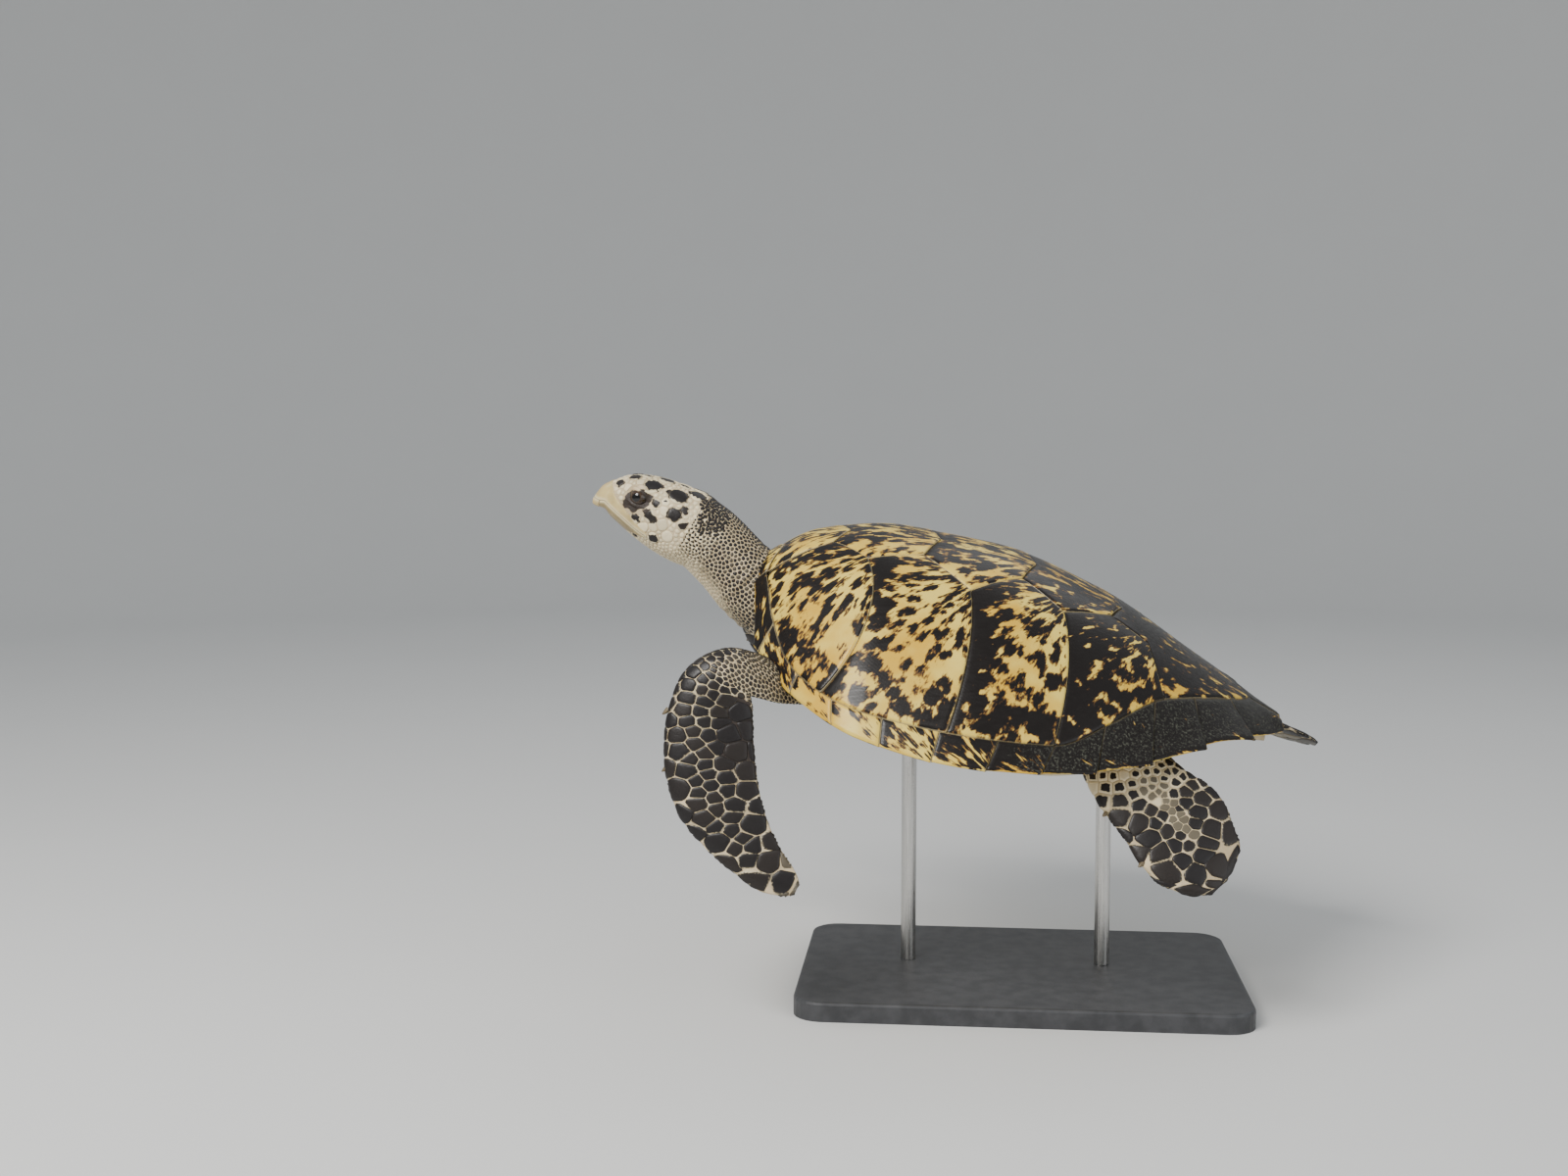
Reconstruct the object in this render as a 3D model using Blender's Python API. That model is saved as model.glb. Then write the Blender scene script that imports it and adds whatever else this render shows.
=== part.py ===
"""Hawksbill sea turtle, a still life-size museum model held on a display stand.

The animal is modelled in its own shell frame: nose towards -X, left side towards -Y, back
towards +Z, with the origin amidships at the level of the shell's rim.  One empty then tips the
whole animal into its swimming pose above the stand.  All lengths are metres.
"""
import math

import bmesh
import bpy
import numpy as np
from mathutils import Euler, Matrix, Vector

for old in list(bpy.data.objects):
    bpy.data.objects.remove(old, do_unlink=True)

# Pose of the animal above the stand.
NOSE_UP = math.radians(11.8)
LEFT_SIDE_DOWN = math.radians(10.8)
SHELL_CENTRE_HEIGHT = 0.335

# Seams between neighbouring pieces.
SEAM = 0.0004
CUT_CLEARANCE = 0.0006

# Carapace: outline, rim height and crown height at stations from the nuchal (0) back to the tail
# tip.  Station 0.5 is amidships and a whole station is STATION_LENGTH long.
STATION_LENGTH = 0.60
TAIL_STATION = 0.948
HALF_WIDTH = ((0.0, 0.061), (0.04, 0.095), (0.12, 0.170), (0.25, 0.230), (0.40, 0.243),
              (0.55, 0.228), (0.70, 0.184), (0.82, 0.122), (0.90, 0.066), (TAIL_STATION, 0.016))
RIM_HEIGHT = ((0.0, 0.004), (0.15, -0.018), (0.35, -0.026), (0.60, -0.014), (0.73, 0.001), (0.80, 0.012),
              (0.86, 0.016), (0.91, 0.010), (TAIL_STATION, 0.006))
CROWN_HEIGHT = ((0.0, 0.060), (0.10, 0.103), (0.25, 0.123), (0.40, 0.124), (0.60, 0.101),
                (0.80, 0.051), (0.90, 0.0245), (TAIL_STATION, 0.012))
ARCH_POWER = 2.2
FRONT_ARCH = 1.0
REAR_FLARE = 0.3
SCUTE_THICKNESS = 0.004

# Ring of marginal scutes: r runs along the rim from the front middle (0) to the tail tip (1).
FRONT_EDGE_R = 0.12
REAR_EDGE_R = 0.98
FRONT_SWEEP = 0.04
TAIL_NOTCH = 0.014
INNER_RING = ((0.0, 0.045, 0.0), (0.065, 0.030, 0.45), (0.085, 0.035, 0.54), (0.12, 0.060, 0.79),
              (0.17, 0.100, 0.905), (0.21, 0.140, 0.93), (0.254, 0.175, 0.935), (0.443, 0.385, 0.912),
              (0.595, 0.555, 0.905), (0.693, 0.645, 0.80), (0.778, 0.725, 0.64), (0.846, 0.783, 0.57),
              (0.904, 0.835, 0.46), (0.953, 0.872, 0.26), (1.0, 0.890, 0.0))
MARGINAL_SEAMS = (0.065, 0.130, 0.200, 0.275, 0.353, 0.433, 0.515, 0.597, 0.679, 0.761, 0.841, 0.919, 1.0)
MARGINAL_DEPTH = ((0.0, 0.006), (0.15, 0.009), (0.25, 0.016), (0.33, 0.024), (0.62, 0.024),
                  (0.72, 0.014), (0.80, 0.009), (1.0, 0.006))
RIM_THICKNESS = 0.0025
SERRATION = ((0.0, 0.0), (0.35, 0.001), (0.60, 0.004), (0.80, 0.009), (0.92, 0.013), (1.0, 0.009))

# Seams of the vertebral and costal scutes, as (station, share of the half width).
VERTEBRAL_ENDS = ((0.133, 0.19), (0.290, 0.22), (0.460, 0.22), (0.620, 0.20))
VERTEBRAL_CORNERS = ((0.198, 0.33), (0.378, 0.39), (0.537, 0.34), (0.690, 0.27))
VERTEBRAL_POINT = 0.022
COSTAL_RING_R = (0.085, 0.254, 0.443, 0.595, 0.778)
COSTAL_BOW = (0.0, 0.036, 0.012, 0.012, 0.0)

# Plastron and belly line.
BELLY_HEIGHT = ((0.0, -0.026), (0.10, -0.048), (0.18, -0.060), (0.28, -0.067), (0.45, -0.070),
                (0.65, -0.065), (0.78, -0.040), (0.87, -0.019), (TAIL_STATION, -0.010))
BELLY_ROUNDNESS = 3.6
PLASTRON_HALF_WIDTH = ((0.125, 0.030), (0.15, 0.072), (0.19, 0.104), (0.24, 0.135), (0.275, 0.170),
                       (0.31, 0.230), (0.39, 0.230), (0.48, 0.230), (0.57, 0.230), (0.615, 0.165),
                       (0.65, 0.132), (0.72, 0.112), (0.78, 0.080), (0.82, 0.050), (0.85, 0.034),
                       (0.875, 0.014))
PLASTRON_THICKNESS = 0.005

# Trunk, as stations along the shell.
TRUNK_STATIONS = (0.045, 0.075, 0.11, 0.16, 0.22, 0.30, 0.39, 0.48, 0.56, 0.64, 0.71, 0.77, 0.82, 0.865)
TRUNK_BELOW_SHELL = 0.0070
TRUNK_ABOVE_PLASTRON = 0.0130

# Head: stations along x with top, widest level, bottom and half width.
HEAD = ((-0.4805, 0.0880, 0.0855, 0.0822, 0.0030), (-0.4775, 0.0945, 0.0870, 0.0806, 0.0070),
        (-0.4730, 0.1025, 0.0895, 0.0800, 0.0112), (-0.4660, 0.1085, 0.0905, 0.0795, 0.0160),
        (-0.4580, 0.1140, 0.0900, 0.0730, 0.0205), (-0.4480, 0.1195, 0.0890, 0.0670, 0.0253),
        (-0.4360, 0.1230, 0.0870, 0.0600, 0.0300), (-0.4220, 0.1242, 0.0840, 0.0525, 0.0338),
        (-0.4060, 0.1236, 0.0810, 0.0455, 0.0368), (-0.3900, 0.1218, 0.0785, 0.0400, 0.0384),
        (-0.3740, 0.1190, 0.0770, 0.0368, 0.0386), (-0.3600, 0.1160, 0.0755, 0.0360, 0.0380),
        (-0.3480, 0.1090, 0.0735, 0.0385, 0.0340), (-0.3390, 0.0970, 0.0715, 0.0460, 0.0250),
        (-0.3350, 0.0850, 0.0705, 0.0560, 0.0130))
HEAD_SQUARENESS = 2.15
HEAD_SEGMENTS = 18
BEAK_SEAM = ((-0.4620, 0.1100), (-0.4520, 0.0985), (-0.4380, 0.0880), (-0.4120, 0.0695))
MOUTH_LINE = ((-0.4118, 0.0664), (-0.4220, 0.0704), (-0.4300, 0.0742), (-0.4420, 0.0802),
              (-0.4560, 0.0868), (-0.4650, 0.0913), (-0.4718, 0.0898))
JAW_SEAM = ((-0.4180, 0.0650), (-0.4350, 0.0655), (-0.4450, 0.0600))
HOOK_BACK = -0.4718
JAW_TIP = (-0.4714, 0.0893)
BEAK_BLOCK = (-0.500, 0.050, 0.140)
BLOCK_HALF_WIDTH = 0.08
EYE_CENTRE = (-0.4280, 0.0220, 0.1045)
EYE_RADIUS = 0.0100

# Neck: centre line from inside the trunk to the back of the head, with its two radii.
NECK = (((-0.235, 0.004), 0.050, 0.044), ((-0.275, 0.020), 0.049, 0.043), ((-0.303, 0.0345), 0.045, 0.041),
        ((-0.325, 0.0505), 0.0415, 0.0390), ((-0.343, 0.0635), 0.0395, 0.0390),
        ((-0.358, 0.0725), 0.0382, 0.0392), ((-0.372, 0.0775), 0.0370, 0.0390))
NECK_SEGMENTS = 14

# Front flipper in the plane it sweeps: x and depth of its leading and trailing edge, how far
# each station is set in towards the trunk, and its half thickness.
FRONT_PLANE_ORIGIN = (-0.170, 0.020)
FRONT_PLANE_LEAN = math.radians(26.0)
FRONT_FLIPPER = ((-0.2380, 0.004, -0.1880, 0.026, 0.094, 0.017),
                 (-0.2600, -0.002, -0.2080, 0.038, 0.052, 0.021),
                 (-0.2860, 0.001, -0.2360, 0.046, 0.018, 0.019),
                 (-0.3150, 0.019, -0.2590, 0.047, 0.002, 0.016),
                 (-0.3340, 0.050, -0.2555, 0.055, 0.0, 0.0135), (-0.3375, 0.085, -0.2510, 0.072, 0.0, 0.0115),
                 (-0.3320, 0.115, -0.2440, 0.097, 0.0, 0.0100), (-0.3200, 0.145, -0.2355, 0.121, 0.0, 0.0088),
                 (-0.3010, 0.174, -0.2260, 0.143, 0.0, 0.0075), (-0.2700, 0.198, -0.2120, 0.166, 0.0, 0.0062),
                 (-0.2360, 0.2160, -0.1980, 0.183, 0.0, 0.0050),
                 (-0.2050, 0.2275, -0.1840, 0.196, 0.0, 0.0036),
                 (-0.1850, 0.2250, -0.1765, 0.2060, 0.0, 0.0020))
FRONT_ELBOW = 4

# Hind flipper in its own plane, in the same way.
HIND_PLANE_ORIGIN = (-0.150, -0.025)
HIND_PLANE_LEAN = math.radians(43.4)
HIND_FLIPPER = ((0.040, -0.075, 0.118, -0.085, 0.040, 0.019), (0.046, -0.040, 0.135, -0.055, 0.022, 0.0175),
                (0.054, -0.008, 0.150, -0.030, 0.006, 0.0150), (0.0690, 0.0230, 0.1690, -0.0120, 0.0, 0.0115),
                (0.0960, 0.0510, 0.1900, -0.0020, 0.0, 0.0092), (0.1200, 0.0740, 0.2080, 0.0120, 0.0, 0.0078),
                (0.1400, 0.0970, 0.2200, 0.0340, 0.0, 0.0066), (0.1600, 0.1105, 0.2290, 0.0550, 0.0, 0.0052),
                (0.1860, 0.1140, 0.2260, 0.0740, 0.0, 0.0038), (0.2070, 0.1080, 0.2200, 0.0900, 0.0, 0.0020))
HIND_KNEE = 3
FLIPPER_SEGMENTS = 14
FLIPPER_SQUARENESS = 1.75

# How the right limbs are held otherwise than the left ones: a point they turn about, their turns
# in degrees about the lengthwise, crosswise and upright lines through it, and a shift.
RIGHT_FRONT_SWING = ((-0.250, 0.0, 0.020), (0.0, -5.5, 0.0), (0.0, 0.0, 0.0))
RIGHT_HIND_SWING = ((0.079, -0.066, 0.006), (-25.0, -10.0, 45.0), (0.029, 0.007, -0.037))
RIGHT_THIGH_RISE = 0.035

# Tail, claws.
TAIL = (((0.196, -0.008), 0.018), ((0.219, -0.009), 0.015), ((0.242, -0.011), 0.0105),
        ((0.260, -0.0135), 0.005))
CLAW_LENGTH = 0.0085
CLAW_RADIUS = 0.0026
CLAW_SLANT = (-0.005, 0.009)
CLAW_STANDS_OUT = 0.2
FRONT_CLAWS = ((-0.3368, 0.080), (-0.3245, 0.134))
HIND_CLAWS = ((0.0975, 0.0525), (0.1380, 0.0950))

# Stand.
BASE_LENGTH = 0.46
BASE_DEPTH = 0.30
BASE_THICKNESS = 0.020
BASE_CORNER = 0.030
BASE_EDGE_ROUND = 0.003
ROD_RADIUS = 0.008
ROD_STATIONS = (-0.105, 0.105)
PAD_RADIUS = 0.022
PAD_THICKNESS = 0.006
STAND_GAP = 0.0004

HORN = (0.36, 0.22, 0.09)
DARK_HORN = (0.10, 0.055, 0.025)
SKIN = (0.42, 0.37, 0.24)
DARK_SKIN = (0.07, 0.05, 0.035)
PLASTRON_YELLOW = (0.72, 0.58, 0.30)
BEAK_HORN = (0.48, 0.42, 0.22)
EYE_BLACK = (0.015, 0.012, 0.010)
STAND_BLACK = (0.02, 0.02, 0.022)
ROD_STEEL = (0.55, 0.55, 0.56)

pose = bpy.data.objects.new("pose", None)
bpy.context.scene.collection.objects.link(pose)
pose.location = (0.0, 0.0, SHELL_CENTRE_HEIGHT)
pose.rotation_euler = (LEFT_SIDE_DOWN, NOSE_UP, 0.0)
POSE_MATRIX = Matrix.Translation(pose.location) @ pose.rotation_euler.to_matrix().to_4x4()


def material(name, colour, roughness, metallic=0.0):
    """A Principled material of one colour."""
    made = bpy.data.materials.new(name)
    made.use_nodes = True
    shader = made.node_tree.nodes["Principled BSDF"]
    shader.inputs["Base Color"].default_value = (*colour, 1.0)
    shader.inputs["Roughness"].default_value = roughness
    shader.inputs["Metallic"].default_value = metallic
    return made


def place(name, mesh, colour, roughness, metallic=0.0, on_animal=True):
    """Put a mesh in the scene as one named piece with its own material, on the animal or on the stand."""
    piece = bpy.data.objects.new(name, mesh)
    bpy.context.scene.collection.objects.link(piece)
    piece.data.materials.append(material(name, colour, roughness, metallic))
    if on_animal:
        piece.parent = pose
    return piece


def closed_mesh(name, points, faces):
    """A triangle mesh from points and faces with every face turned outwards."""
    mesh = bpy.data.meshes.new(name)
    mesh.from_pydata([tuple(point) for point in points], [], faces)
    shape = bmesh.new()
    shape.from_mesh(mesh)
    bmesh.ops.triangulate(shape, faces=shape.faces)
    bmesh.ops.recalc_face_normals(shape, faces=shape.faces)
    shape.to_mesh(mesh)
    shape.free()
    return mesh


def plate(name, outer, inner):
    """A closed plate between two grids of points: both faces, and a wall along the four edges."""
    rows, columns = outer.shape[:2]
    number = np.arange(rows * columns).reshape(rows, columns)
    below = number + rows * columns
    corners = (number[:-1, :-1], number[1:, :-1], number[1:, 1:], number[:-1, 1:])
    faces = np.stack([corner.ravel() for corner in corners], axis=1)
    faces = np.concatenate([faces, faces[:, ::-1] + rows * columns])
    edge = np.concatenate([number[0, :-1], number[:-1, -1], number[-1, :0:-1], number[:0:-1, 0]])
    lower = np.concatenate([below[0, :-1], below[:-1, -1], below[-1, :0:-1], below[:0:-1, 0]])
    wall = np.stack([edge, np.roll(edge, -1), np.roll(lower, -1), lower], axis=1)
    points = np.concatenate([outer.reshape(-1, 3), inner.reshape(-1, 3)])
    return closed_mesh(name, points, np.concatenate([faces, wall]).tolist())


def loft(name, rings):
    """A closed skin over a row of closed rings, with a flat cap at each end."""
    count, around = rings.shape[:2]
    number = np.arange(count * around).reshape(count, around)
    after = np.roll(number, -1, axis=1)
    faces = np.stack([number[:-1], after[:-1], after[1:], number[1:]], axis=2).reshape(-1, 4).tolist()
    faces += [number[0, ::-1].tolist(), number[-1].tolist()]
    return closed_mesh(name, rings.reshape(-1, 3), faces)


def smooth(stations, at, column=1):
    """Cubic curve through stations that never overshoots: each slope is its neighbours' harmonic mean."""
    table = np.array(stations, dtype=float)
    x, y = table[:, 0], table[:, column]
    step = np.diff(x)
    slope = np.diff(y) / step
    left, right = slope[:-1], slope[1:]
    same_way = left * right > 0
    mean = np.where(same_way, 2 * left * right / np.where(same_way, left + right, 1.0), 0.0)
    tangent = np.concatenate([slope[:1], mean, slope[-1:]])
    at = np.clip(np.asarray(at, dtype=float), x[0], x[-1])
    index = np.clip(np.searchsorted(x, at, side="right") - 1, 0, len(x) - 2)
    u = (at - x[index]) / step[index]
    rise = (1 + 2 * u) * (1 - u) ** 2 * y[index] + u * u * (3 - 2 * u) * y[index + 1]
    bend = u * (1 - u) ** 2 * tangent[index] - u * u * (1 - u) * tangent[index + 1]
    return rise + step[index] * bend


def shell_point(s, t):
    """Top of the carapace: s from nuchal to tail tip, t across from right rim (-1) to left rim (+1)."""
    rim = smooth(RIM_HEIGHT, s)
    arch = np.clip(1 - np.abs(t) ** ARCH_POWER, 0, 1) ** (FRONT_ARCH + REAR_FLARE * s)
    height = rim + (smooth(CROWN_HEIGHT, s) - rim) * arch
    return np.stack([(s - 0.5) * STATION_LENGTH, -smooth(HALF_WIDTH, s) * t, height], axis=-1)


def shell_normal(s, t):
    """Outward normal of the carapace, from two short steps along its surface."""
    step = 1e-3
    along = shell_point(np.minimum(s + step, TAIL_STATION), t) - shell_point(np.maximum(s - step, 0), t)
    left, right = np.clip(t + step, -0.999, 0.999), np.clip(t - step, -0.999, 0.999)
    across = shell_point(s, right) - shell_point(s, left)
    normal = np.cross(along, across)
    return normal / np.linalg.norm(normal, axis=-1, keepdims=True)


def inner_ring(r):
    """Seam between the marginal scutes and the scutes inside them, for r on the left side."""
    return smooth(INNER_RING, r, 1), smooth(INNER_RING, r, 2)


def outer_rim(r):
    """Rim of the shell: across the front edge, along the side, and in to the notch at the tail."""
    front = np.clip(r / FRONT_EDGE_R, 0, 1)
    side = np.clip((r - FRONT_EDGE_R) / (REAR_EDGE_R - FRONT_EDGE_R), 0, 1)
    rear = np.clip((r - REAR_EDGE_R) / (1 - REAR_EDGE_R), 0, 1)
    s = FRONT_SWEEP * front ** 2 + (TAIL_STATION - FRONT_SWEEP) * side - TAIL_NOTCH * rear
    return s, np.where(r < FRONT_EDGE_R, front, 1 - rear)


def inset(points, by):
    """Draw the four edges of a grid of points in by a little, so that neighbouring plates stay apart."""
    points = points.copy()
    for edge, beside in ((0, 1), (-1, -2)):
        way = points[beside] - points[edge]
        points[edge] += way / np.linalg.norm(way, axis=-1, keepdims=True) * by
        way = points[:, beside] - points[:, edge]
        points[:, edge] += way / np.linalg.norm(way, axis=-1, keepdims=True) * by
    return points


def scute(name, s, t, colour):
    """One horny plate over the carapace, of even thickness, from its grid of shell coordinates."""
    outer = inset(shell_point(s, t), SEAM)
    inner = outer - shell_normal(s, t) * SCUTE_THICKNESS
    return place(name, plate(name, outer, inner), colour, 0.35)


def spread(points, count):
    """Points evenly spread over each stretch of a polyline, keeping its corners."""
    points = np.array(points, dtype=float)
    at = np.linspace(0, len(points) - 1, (len(points) - 1) * count + 1)
    columns = [np.interp(at, np.arange(len(points)), points[:, column]) for column in range(points.shape[1])]
    return np.stack(columns, axis=1)


def vertebral_seam_middle(number):
    """Station where a cross seam of the vertebral row meets the midline: it points to the tail."""
    return VERTEBRAL_ENDS[number][0] + VERTEBRAL_POINT


def vertebral(number):
    """Grid of one vertebral scute, a hexagon whose cross seams point to the tail."""
    first_corner = (INNER_RING[1][1], INNER_RING[1][2])
    if number == 0:
        side = spread([first_corner, VERTEBRAL_ENDS[0]], 4)
        ends = (inner_ring(0.0)[0], vertebral_seam_middle(0))
    elif number < 4:
        side = spread([VERTEBRAL_ENDS[number - 1], VERTEBRAL_CORNERS[number - 1], VERTEBRAL_ENDS[number]], 2)
        ends = (vertebral_seam_middle(number - 1), vertebral_seam_middle(number))
    else:
        ring = np.stack(inner_ring(np.array([COSTAL_RING_R[4], 0.825, 0.870, 0.912, 0.953, 0.985])), axis=1)
        side = np.concatenate([spread([VERTEBRAL_ENDS[3], VERTEBRAL_CORNERS[3], ring[0]], 1)[:-1], ring])
        ends = (vertebral_seam_middle(3), inner_ring(1.0)[0])
    middle = np.linspace(ends[0], ends[1], len(side))
    across = np.linspace(-1, 1, 7)
    s = middle[:, None] * (1 - np.abs(across)) + side[:, 0:1] * np.abs(across)
    return s, side[:, 1:2] * across


def costal(number, side):
    """Grid of one costal scute, from the vertebral row out to the marginal ring."""
    if number == 0:
        start = spread([(INNER_RING[1][1] + 0.004, INNER_RING[1][2] + 0.01), VERTEBRAL_ENDS[0]], 3)
        inner = np.concatenate([start[:-1], spread([VERTEBRAL_ENDS[0], VERTEBRAL_CORNERS[0]], 3)])
    else:
        inner = spread([VERTEBRAL_CORNERS[number - 1], VERTEBRAL_ENDS[number], VERTEBRAL_CORNERS[number]], 3)
    rows = len(inner)
    outer = np.stack(inner_ring(np.linspace(COSTAL_RING_R[number], COSTAL_RING_R[number + 1], rows)), axis=1)
    out = np.linspace(0, 1, 6)
    bow = np.linspace(COSTAL_BOW[number], COSTAL_BOW[number + 1], rows)[:, None] * 4 * out * (1 - out)
    s = inner[:, 0:1] * (1 - out) + outer[:, 0:1] * out + bow
    t = inner[:, 1:2] * (1 - out) + outer[:, 1:2] * out
    return s, t * side


def nuchal():
    """The plate at the middle of the front edge, between the first marginals."""
    half = np.linspace(0, MARGINAL_SEAMS[0], 4)
    r = np.concatenate([-half[:0:-1], half])
    front_s, front_t = outer_rim(np.abs(r))
    rear_s, rear_t = inner_ring(np.abs(r))
    back = np.linspace(0, 1, 4)[:, None]
    s = front_s * (1 - back) + rear_s * back
    t = (front_t * (1 - back) + rear_t * back) * np.sign(r)
    return scute("nuchal", s, t, HORN)


def marginal_rim(name, side):
    """The twelve marginal scutes of one side as one ring: wedge-shaped, saw-edged towards the tail."""
    seams = np.array(MARGINAL_SEAMS)
    part = np.array([0.0, 0.4, 0.75, 0.96])
    r = np.append((seams[:-1, None] + np.diff(seams)[:, None] * part).ravel(), seams[-1])
    tooth = np.append(np.tile(part, len(seams) - 1), 0.96) ** 1.6
    rim_s, rim_t = outer_rim(r)
    ring_s, ring_t = inner_ring(r)
    rim = shell_point(rim_s, rim_t)
    away = rim - shell_point(ring_s, ring_t)
    away[:, 2] *= 0.3
    away /= np.linalg.norm(away, axis=1, keepdims=True)
    rim += away * (smooth(SERRATION, r) * tooth)[:, None]
    top = shell_point(ring_s, ring_t)
    top += away * SEAM
    half = shell_point((rim_s + ring_s) / 2, (rim_t + ring_t) / 2)
    depth = smooth(MARGINAL_DEPTH, r)[:, None] * np.array([0.0, 0.0, 1.0])
    under = rim - np.array([0.0, 0.0, RIM_THICKNESS])
    rings = np.stack([rim, half, top, top - depth, (under + top - depth) / 2, under], axis=1)
    rings[:, :, 1] = np.minimum(rings[:, :, 1], -SEAM / 2)
    rings[0] += (rings[1] - rings[0]) / np.linalg.norm(rings[1] - rings[0], axis=1, keepdims=True) * SEAM
    rings[:, :, 1] *= side
    return place(name, loft(name, rings), DARK_HORN, 0.4)


def body_half_width(s):
    """Half width at the inner edge of the marginal ring, at a station along the shell."""
    r = np.linspace(INNER_RING[2][0], 1, 200)
    ring_s, ring_t = inner_ring(r)
    return np.interp(s, ring_s, ring_t * smooth(HALF_WIDTH, ring_s))


def belly_height(s, y):
    """Underside of the plastron: flat along the middle, rounding up to the rim at the sides."""
    middle = smooth(BELLY_HEIGHT, s)
    out = np.clip(np.abs(y) / body_half_width(s), 0, 1)
    return middle + (smooth(RIM_HEIGHT, s) - middle) * out ** BELLY_ROUNDNESS


def plastron():
    """The belly plate with its two bridges that reach out to the marginal ring."""
    s = spread([(station,) for station, _ in PLASTRON_HALF_WIDTH], 1)
    half = np.minimum(smooth(PLASTRON_HALF_WIDTH, s), body_half_width(s) - 2 * SEAM)
    y = half * np.linspace(-1, 1, 11)
    outer = np.stack([(s - 0.5) * STATION_LENGTH + 0 * y, y, belly_height(s, y)], axis=-1)
    inner = outer + np.array([0.0, 0.0, PLASTRON_THICKNESS])
    return place("plastron", plate("plastron", outer, inner), PLASTRON_YELLOW, 0.4)


def trunk():
    """The body inside the shell, from the neck opening to the root of the tail."""
    rings = []
    for station in TRUNK_STATIONS:
        half = body_half_width(station) - 0.007
        width = smooth(HALF_WIDTH, station)
        t = np.linspace(1, -1, 9) * half / width
        s = np.full(t.shape, station)
        top = shell_point(s, t)
        top[:, 2] -= TRUNK_BELOW_SHELL / shell_normal(s, t)[:, 2]
        y = np.linspace(1, -1, 9) * half * 0.97
        under = np.stack([0 * y + (station - 0.5) * STATION_LENGTH, y,
                          belly_height(station, y) + TRUNK_ABOVE_PLASTRON], axis=-1)
        rings.append(np.concatenate([top, under]))
    return place("trunk", loft("trunk", np.array(rings)), SKIN, 0.6)


def superellipse(count, squareness):
    """Across and up shares of a rounded closed section."""
    turn = np.linspace(0, 2 * math.pi, count, endpoint=False)
    across = np.sign(np.cos(turn)) * np.abs(np.cos(turn)) ** (2 / squareness)
    up = np.sign(np.sin(turn)) * np.abs(np.sin(turn)) ** (2 / squareness)
    return across, up


def head_mesh(name):
    """The whole head with its closed beak, as sections across it from beak tip to nape."""
    across, up = superellipse(HEAD_SEGMENTS, HEAD_SQUARENESS)
    x, top, level, bottom, half = np.array(HEAD).T[:, :, None]
    rise = np.where(up > 0, (top - level) * up, (level - bottom) * up)
    return loft(name, np.stack([x + 0 * up, half * across, level + rise], axis=-1))


def outline_prism(name, outline, grow):
    """A block through the head whose side outline, in x and z, is grown by the given amount."""
    points = np.array(outline)
    along = np.roll(points, -1, axis=0) - np.roll(points, 1, axis=0)
    along /= np.linalg.norm(along, axis=1, keepdims=True)
    area = np.sum(points[:, 0] * np.roll(points[:, 1], -1) - np.roll(points[:, 0], -1) * points[:, 1])
    points = points + np.stack([along[:, 1], -along[:, 0]], axis=1) * grow * math.copysign(1, area)
    rings = np.array([[(x, side * BLOCK_HALF_WIDTH, z) for x, z in points] for side in (-1, 1)])
    return place(name, loft(name, rings), SKIN, 0.5)


def boolean(target, cutter, operation):
    """Add a Boolean to a piece and hide its cutter."""
    modifier = target.modifiers.new(cutter.name, "BOOLEAN")
    modifier.operation = operation
    modifier.object = cutter
    modifier.solver = "EXACT"
    cutter.hide_render = True
    cutter.display_type = "WIRE"


def part_from(target, *neighbours):
    """Cut a piece clear of its neighbours, leaving an even thin seam between them."""
    for neighbour in neighbours:
        mesh = neighbour.data.copy()
        cutter = bpy.data.objects.new("cut_" + neighbour.name + "_from_" + target.name, mesh)
        bpy.context.scene.collection.objects.link(cutter)
        cutter.parent = pose
        for modifier in neighbour.modifiers:
            copy = cutter.modifiers.new(modifier.name, modifier.type)
            copy.operation = modifier.operation
            copy.object = modifier.object
            copy.solver = modifier.solver
        swell = cutter.modifiers.new("swell", "DISPLACE")
        swell.strength = CUT_CLEARANCE
        swell.mid_level = 0.0
        boolean(target, cutter, "DIFFERENCE")


def head_and_beak():
    """The head parted into its flesh, the upper and the lower beak, with a socket for each eye."""
    mouth = list(MOUTH_LINE)
    front, under, over = BEAK_BLOCK
    upper = [(front, over), (BEAK_SEAM[0][0], over), *BEAK_SEAM, *mouth, (HOOK_BACK, under), (front, under)]
    lower = [(x, z - SEAM) for x, z in mouth[:-1]]
    lower += [JAW_TIP, (JAW_TIP[0], under), (JAW_SEAM[2][0], under), *JAW_SEAM[::-1]]
    corner = mouth[0][0] + 2 * SEAM
    whole = [(front, over), (BEAK_SEAM[0][0], over), *BEAK_SEAM, (corner, mouth[0][1]),
             (corner, JAW_SEAM[0][1]), *JAW_SEAM, (JAW_SEAM[2][0], under), (front, under)]
    head = place("head", head_mesh("head"), SKIN, 0.55)
    boolean(head, outline_prism("part_beak", whole, SEAM), "DIFFERENCE")
    for name, outline in (("beak_upper", upper), ("beak_lower", lower)):
        beak = place(name, head_mesh(name), BEAK_HORN, 0.4)
        boolean(beak, outline_prism("keep_" + name, outline, 0.0), "INTERSECT")
    for name, side in (("eye_left", -1), ("eye_right", 1)):
        eye = eyeball(name, EYE_RADIUS)
        eye.location = (EYE_CENTRE[0], side * EYE_CENTRE[1], EYE_CENTRE[2])
        socket = eyeball("socket_" + name, EYE_RADIUS + SEAM)
        socket.location = eye.location
        boolean(head, socket, "DIFFERENCE")
    return head


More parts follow.
